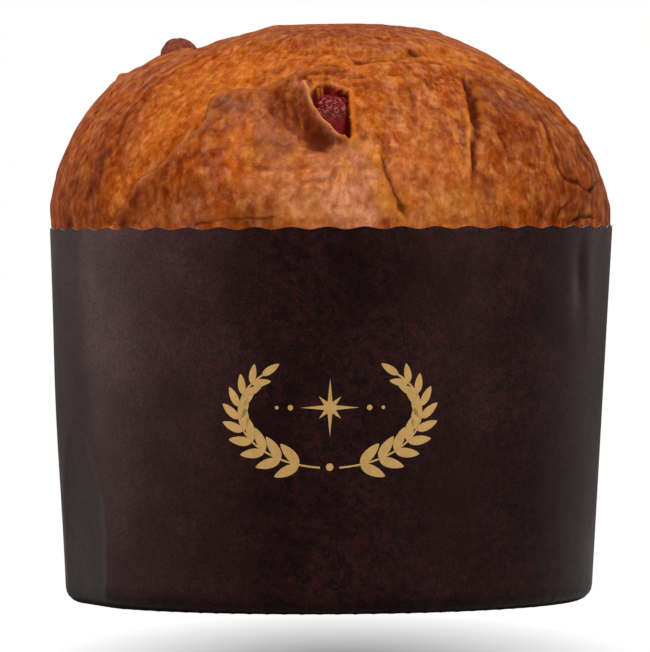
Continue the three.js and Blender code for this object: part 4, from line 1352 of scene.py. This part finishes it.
class BREAD_OT_ornament(bpy.types.Operator):
    """Prints the gold wreath on the front of the case"""

    bl_idname = "bread.make_ornament"
    bl_label = "Gold wreath"

    def execute(self, context):
        looks = context.scene.bread_ornament
        form = bmesh.new()
        across, tall = looks.width / 2 - 4 * MM, looks.height / 2 - 3 * MM
        for side in (-1, 1):
            def place(share):
                angle = math.radians(-84 + 128 * share)
                return side * across * math.cos(angle), tall * math.sin(angle)
            add_strip(form, [place(i / 24) for i in range(25)], 0.55 * MM)
            for i in range(9):
                share = 0.1 + 0.1 * i
                (x0, y0), (x1, y1) = place(share - 0.01), place(share + 0.01)
                way = math.atan2(y1 - y0, x1 - x0)
                size = 1 - 0.35 * share
                for turn in (-0.62, 0.62):
                    angle = way + turn
                    offset = 4.6 * MM * size
                    middle = ((x0 + x1) / 2 + offset * math.cos(angle),
                              (y0 + y1) / 2 + offset * math.sin(angle))
                    add_leaf(form, middle, angle, 8.2 * MM * size, 3.1 * MM * size)
            x, y = place(1.0)
            x0, y0 = place(0.97)
            way = math.atan2(y - y0, x - x0)
            tip = (x + 2.6 * MM * math.cos(way), y + 2.6 * MM * math.sin(way))
            add_leaf(form, tip, way, 6 * MM, 2.2 * MM)
            add_dot(form, (side * 11.5 * MM, 1.5 * MM), 0.8 * MM)
            add_dot(form, (side * 15.5 * MM, 1.5 * MM), 0.55 * MM)
        add_star(form, (0, 1.5 * MM), 8.5 * MM, 4.6 * MM, 1.8 * MM)
        add_dot(form, (0, -0.985 * tall), 1.1 * MM)
        bmesh.ops.subdivide_edges(form, edges=form.edges[:], cuts=2, use_grid_fill=True)
        bmesh.ops.recalc_face_normals(form, faces=form.faces[:])
        piece = give_mesh("gold_wreath", form, foil_material(looks), "case_paper")
        piece.data.shade_flat()
        flat = read_points(piece.data)
        height = looks.middle + flat[:, 1]
        radius = wall_radius(height) + 0.02 * MM
        azimuth = flat[:, 0] / wall_radius(looks.middle)
        lean = LEAN * (height - RIM_HEIGHT)
        wrapped = np.column_stack([radius * np.sin(azimuth) + lean, -radius * np.cos(azimuth), height])
        write_points(piece.data, wrapped)
        thicken = piece.modifiers.new("Foil", "SOLIDIFY")
        thicken.thickness = 0.02 * MM
        thicken.offset = 1
        return {"FINISHED"}


def add_floor():
    """A wide round floor, which is no part of the object."""
    form = bmesh.new()
    bmesh.ops.create_circle(form, cap_ends=True, segments=96, radius=12.0)
    mesh = bpy.data.meshes.new("floor")
    form.to_mesh(mesh)
    form.free()
    floor = bpy.data.objects.new("floor", mesh)
    bpy.context.collection.objects.link(floor)
    mesh.materials.append(floor_material())


def floor_material():
    """White to the camera, with a soft painted shadow in front, and only dimly lit for all else."""
    material = bpy.data.materials.new("white_floor")
    material.use_nodes = True
    tree = material.node_tree
    tree.nodes.clear()
    place = tree.nodes.new("ShaderNodeTexCoord").outputs["Object"]
    # The painted shadow: a soft patch on the floor in front of the object, darkest at its middle
    offset = add_node(tree, "VectorMath", {0: place, 1: (-0.002, 0.28, 0)}, operation="ADD").outputs[0]
    scaled = add_node(tree, "VectorMath", {0: offset, 1: (14.0, 5.2, 0)}, operation="MULTIPLY").outputs[0]
    distance = add_node(tree, "VectorMath", {0: scaled}, operation="LENGTH").outputs["Value"]
    glow = map_range(tree, distance, 0.26, 1.15, 0.34, 1.0)
    seen = tree.nodes.new("ShaderNodeLightPath").outputs["Is Camera Ray"]
    grey = mix_colours(tree, seen, (0.2, 0.2, 0.2), (0.02, 0.02, 0.02))
    lit = add_node(tree, "BsdfDiffuse", {"Color": grey})
    shining = add_node(tree, "Emission", {"Strength": times(tree, glow, seen)})
    both = add_node(tree, "AddShader", {0: lit.outputs[0], 1: shining.outputs[0]})
    output = tree.nodes.new("ShaderNodeOutputMaterial")
    tree.links.new(both.outputs[0], output.inputs[0])
    return material


def add_surroundings(scene):
    """White behind the object, and dimmer towards the camera so that the dark paper stays dark."""
    world = bpy.data.worlds.new("studio")
    scene.world = world
    world.use_nodes = True
    tree = world.node_tree
    tree.nodes.clear()
    way = tree.nodes.new("ShaderNodeTexCoord").outputs["Generated"]
    depth = add_node(tree, "SeparateXYZ", {0: way}).outputs["Y"]
    strength = map_range(tree, depth, -0.4, 1.0, 0.04, 0.5)
    seen = tree.nodes.new("ShaderNodeLightPath").outputs["Is Camera Ray"]
    light = add_node(tree, "Background", {"Color": (1, 0.88, 0.85, 1), "Strength": strength})
    backdrop = add_node(tree, "Background", {"Color": (1, 1, 1, 1), "Strength": 1.0})
    both = add_node(tree, "MixShader", {0: seen, 1: light.outputs[0], 2: backdrop.outputs[0]})
    output = tree.nodes.new("ShaderNodeOutputWorld")
    tree.links.new(both.outputs[0], output.inputs[0])


def add_camera(scene, looks):
    """Frames the object as in the photograph, where the rim is level with the eye."""
    data = bpy.data.cameras.new("camera")
    data.sensor_fit = "HORIZONTAL"
    data.sensor_width = SENSOR
    data.lens = SENSOR * looks.eye_distance / (FRAME_WIDTH * METRES_PER_PIXEL)
    data.clip_start, data.clip_end = 0.01, 100
    camera = bpy.data.objects.new("camera", data)
    scene.collection.objects.link(camera)
    camera.location = (0, -looks.eye_distance, EYE_HEIGHT)
    camera.rotation_mode = "QUATERNION"
    aim = (LOOKED_AT - camera.location).to_track_quat("-Z", "Y")
    roll = Quaternion((0, 0, 1), CAMERA_ROLL)
    camera.rotation_quaternion = aim @ roll
    scene.camera = camera


def add_light(name, power, place, target, width, height, colour=(1, 1, 1)):
    """A rectangular light turned towards its target."""
    data = bpy.data.lights.new(name, "AREA")
    data.shape = "RECTANGLE"
    data.size, data.size_y = width, height
    data.energy = power
    data.color = colour
    light = bpy.data.objects.new(name, data)
    bpy.context.collection.objects.link(light)
    light.location = place
    light.rotation_mode = "QUATERNION"
    light.rotation_quaternion = (target - light.location).to_track_quat("-Z", "Y")


class BREAD_OT_stage(bpy.types.Operator):
    """Lays the floor, hangs the lights and sets the camera where the picture was taken from"""

    bl_idname = "bread.make_stage"
    bl_label = "Studio"

    def execute(self, context):
        looks = context.scene.bread_studio
        add_floor()
        add_surroundings(context.scene)
        add_camera(context.scene, looks)
        middle = Vector((0, 0, 0.1))
        for name, side, depth, width, power in (
            ("left_front_light", -1, -0.85, 1.3, 1.4), ("left_light", -1, 0.2, 0.8, 0.9),
            ("left_back_light", -1, 1.05, 0.85, 0.1), ("right_front_light", 1, -1.05, 1.2, 1.05),
            ("right_back_light", 1, 0.6, 1.7, 0.36),
        ):
            add_light(name, power * looks.side_power, (1.15 * side, depth, 0.3),
                      Vector((0, depth, 0.1)), width, 0.9, (1.0, 0.8, 0.77))
        add_light("front_light", looks.front_power, (0.25, -1.15, 1.35), middle, 0.55, 0.4)
        add_light("top_light", looks.top_power, (0, 0.0, 1.3), middle, 0.8, 0.8)
        context.scene.view_settings.view_transform = "Standard"
        return {"FINISHED"}


class BREAD_PT_panel(bpy.types.Panel):
    """Lists the steps that make the bread"""

    bl_label = "Sweet bread"
    bl_idname = "BREAD_PT_panel"
    bl_space_type = "VIEW_3D"
    bl_region_type = "UI"
    bl_category = "Bread"

    def draw(self, context):
        for operator in OPERATORS:
            self.layout.operator(operator.bl_idname)
        for name in SETTINGS:
            box = self.layout.box()
            group = getattr(context.scene, name)
            for key in group.__annotations__:
                box.prop(group, key)


SETTINGS = {
    "bread_case": BreadCaseSettings,
    "bread_crust": BreadCrustSettings,
    "bread_fruit": BreadFruitSettings,
    "bread_ornament": BreadOrnamentSettings,
    "bread_studio": BreadStudioSettings,
}
OPERATORS = (BREAD_OT_case, BREAD_OT_loaf, BREAD_OT_cherry, BREAD_OT_raisin, BREAD_OT_ornament,
             BREAD_OT_stage)


def register():
    for kind in (*SETTINGS.values(), *OPERATORS, BREAD_PT_panel):
        bpy.utils.register_class(kind)
    for name, kind in SETTINGS.items():
        setattr(bpy.types.Scene, name, PointerProperty(type=kind))


def unregister():
    for name in SETTINGS:
        delattr(bpy.types.Scene, name)
    for kind in (BREAD_PT_panel, *reversed(OPERATORS), *reversed(SETTINGS.values())):
        bpy.utils.unregister_class(kind)


def main():
    """Runs every step in order."""
    register()
    bpy.ops.bread.make_stage()
    bpy.ops.bread.make_case()
    bpy.ops.bread.make_loaf()
    bpy.ops.bread.make_cherry()
    bpy.ops.bread.make_raisin()
    bpy.ops.bread.make_ornament()


if __name__ == "__main__":
    main()
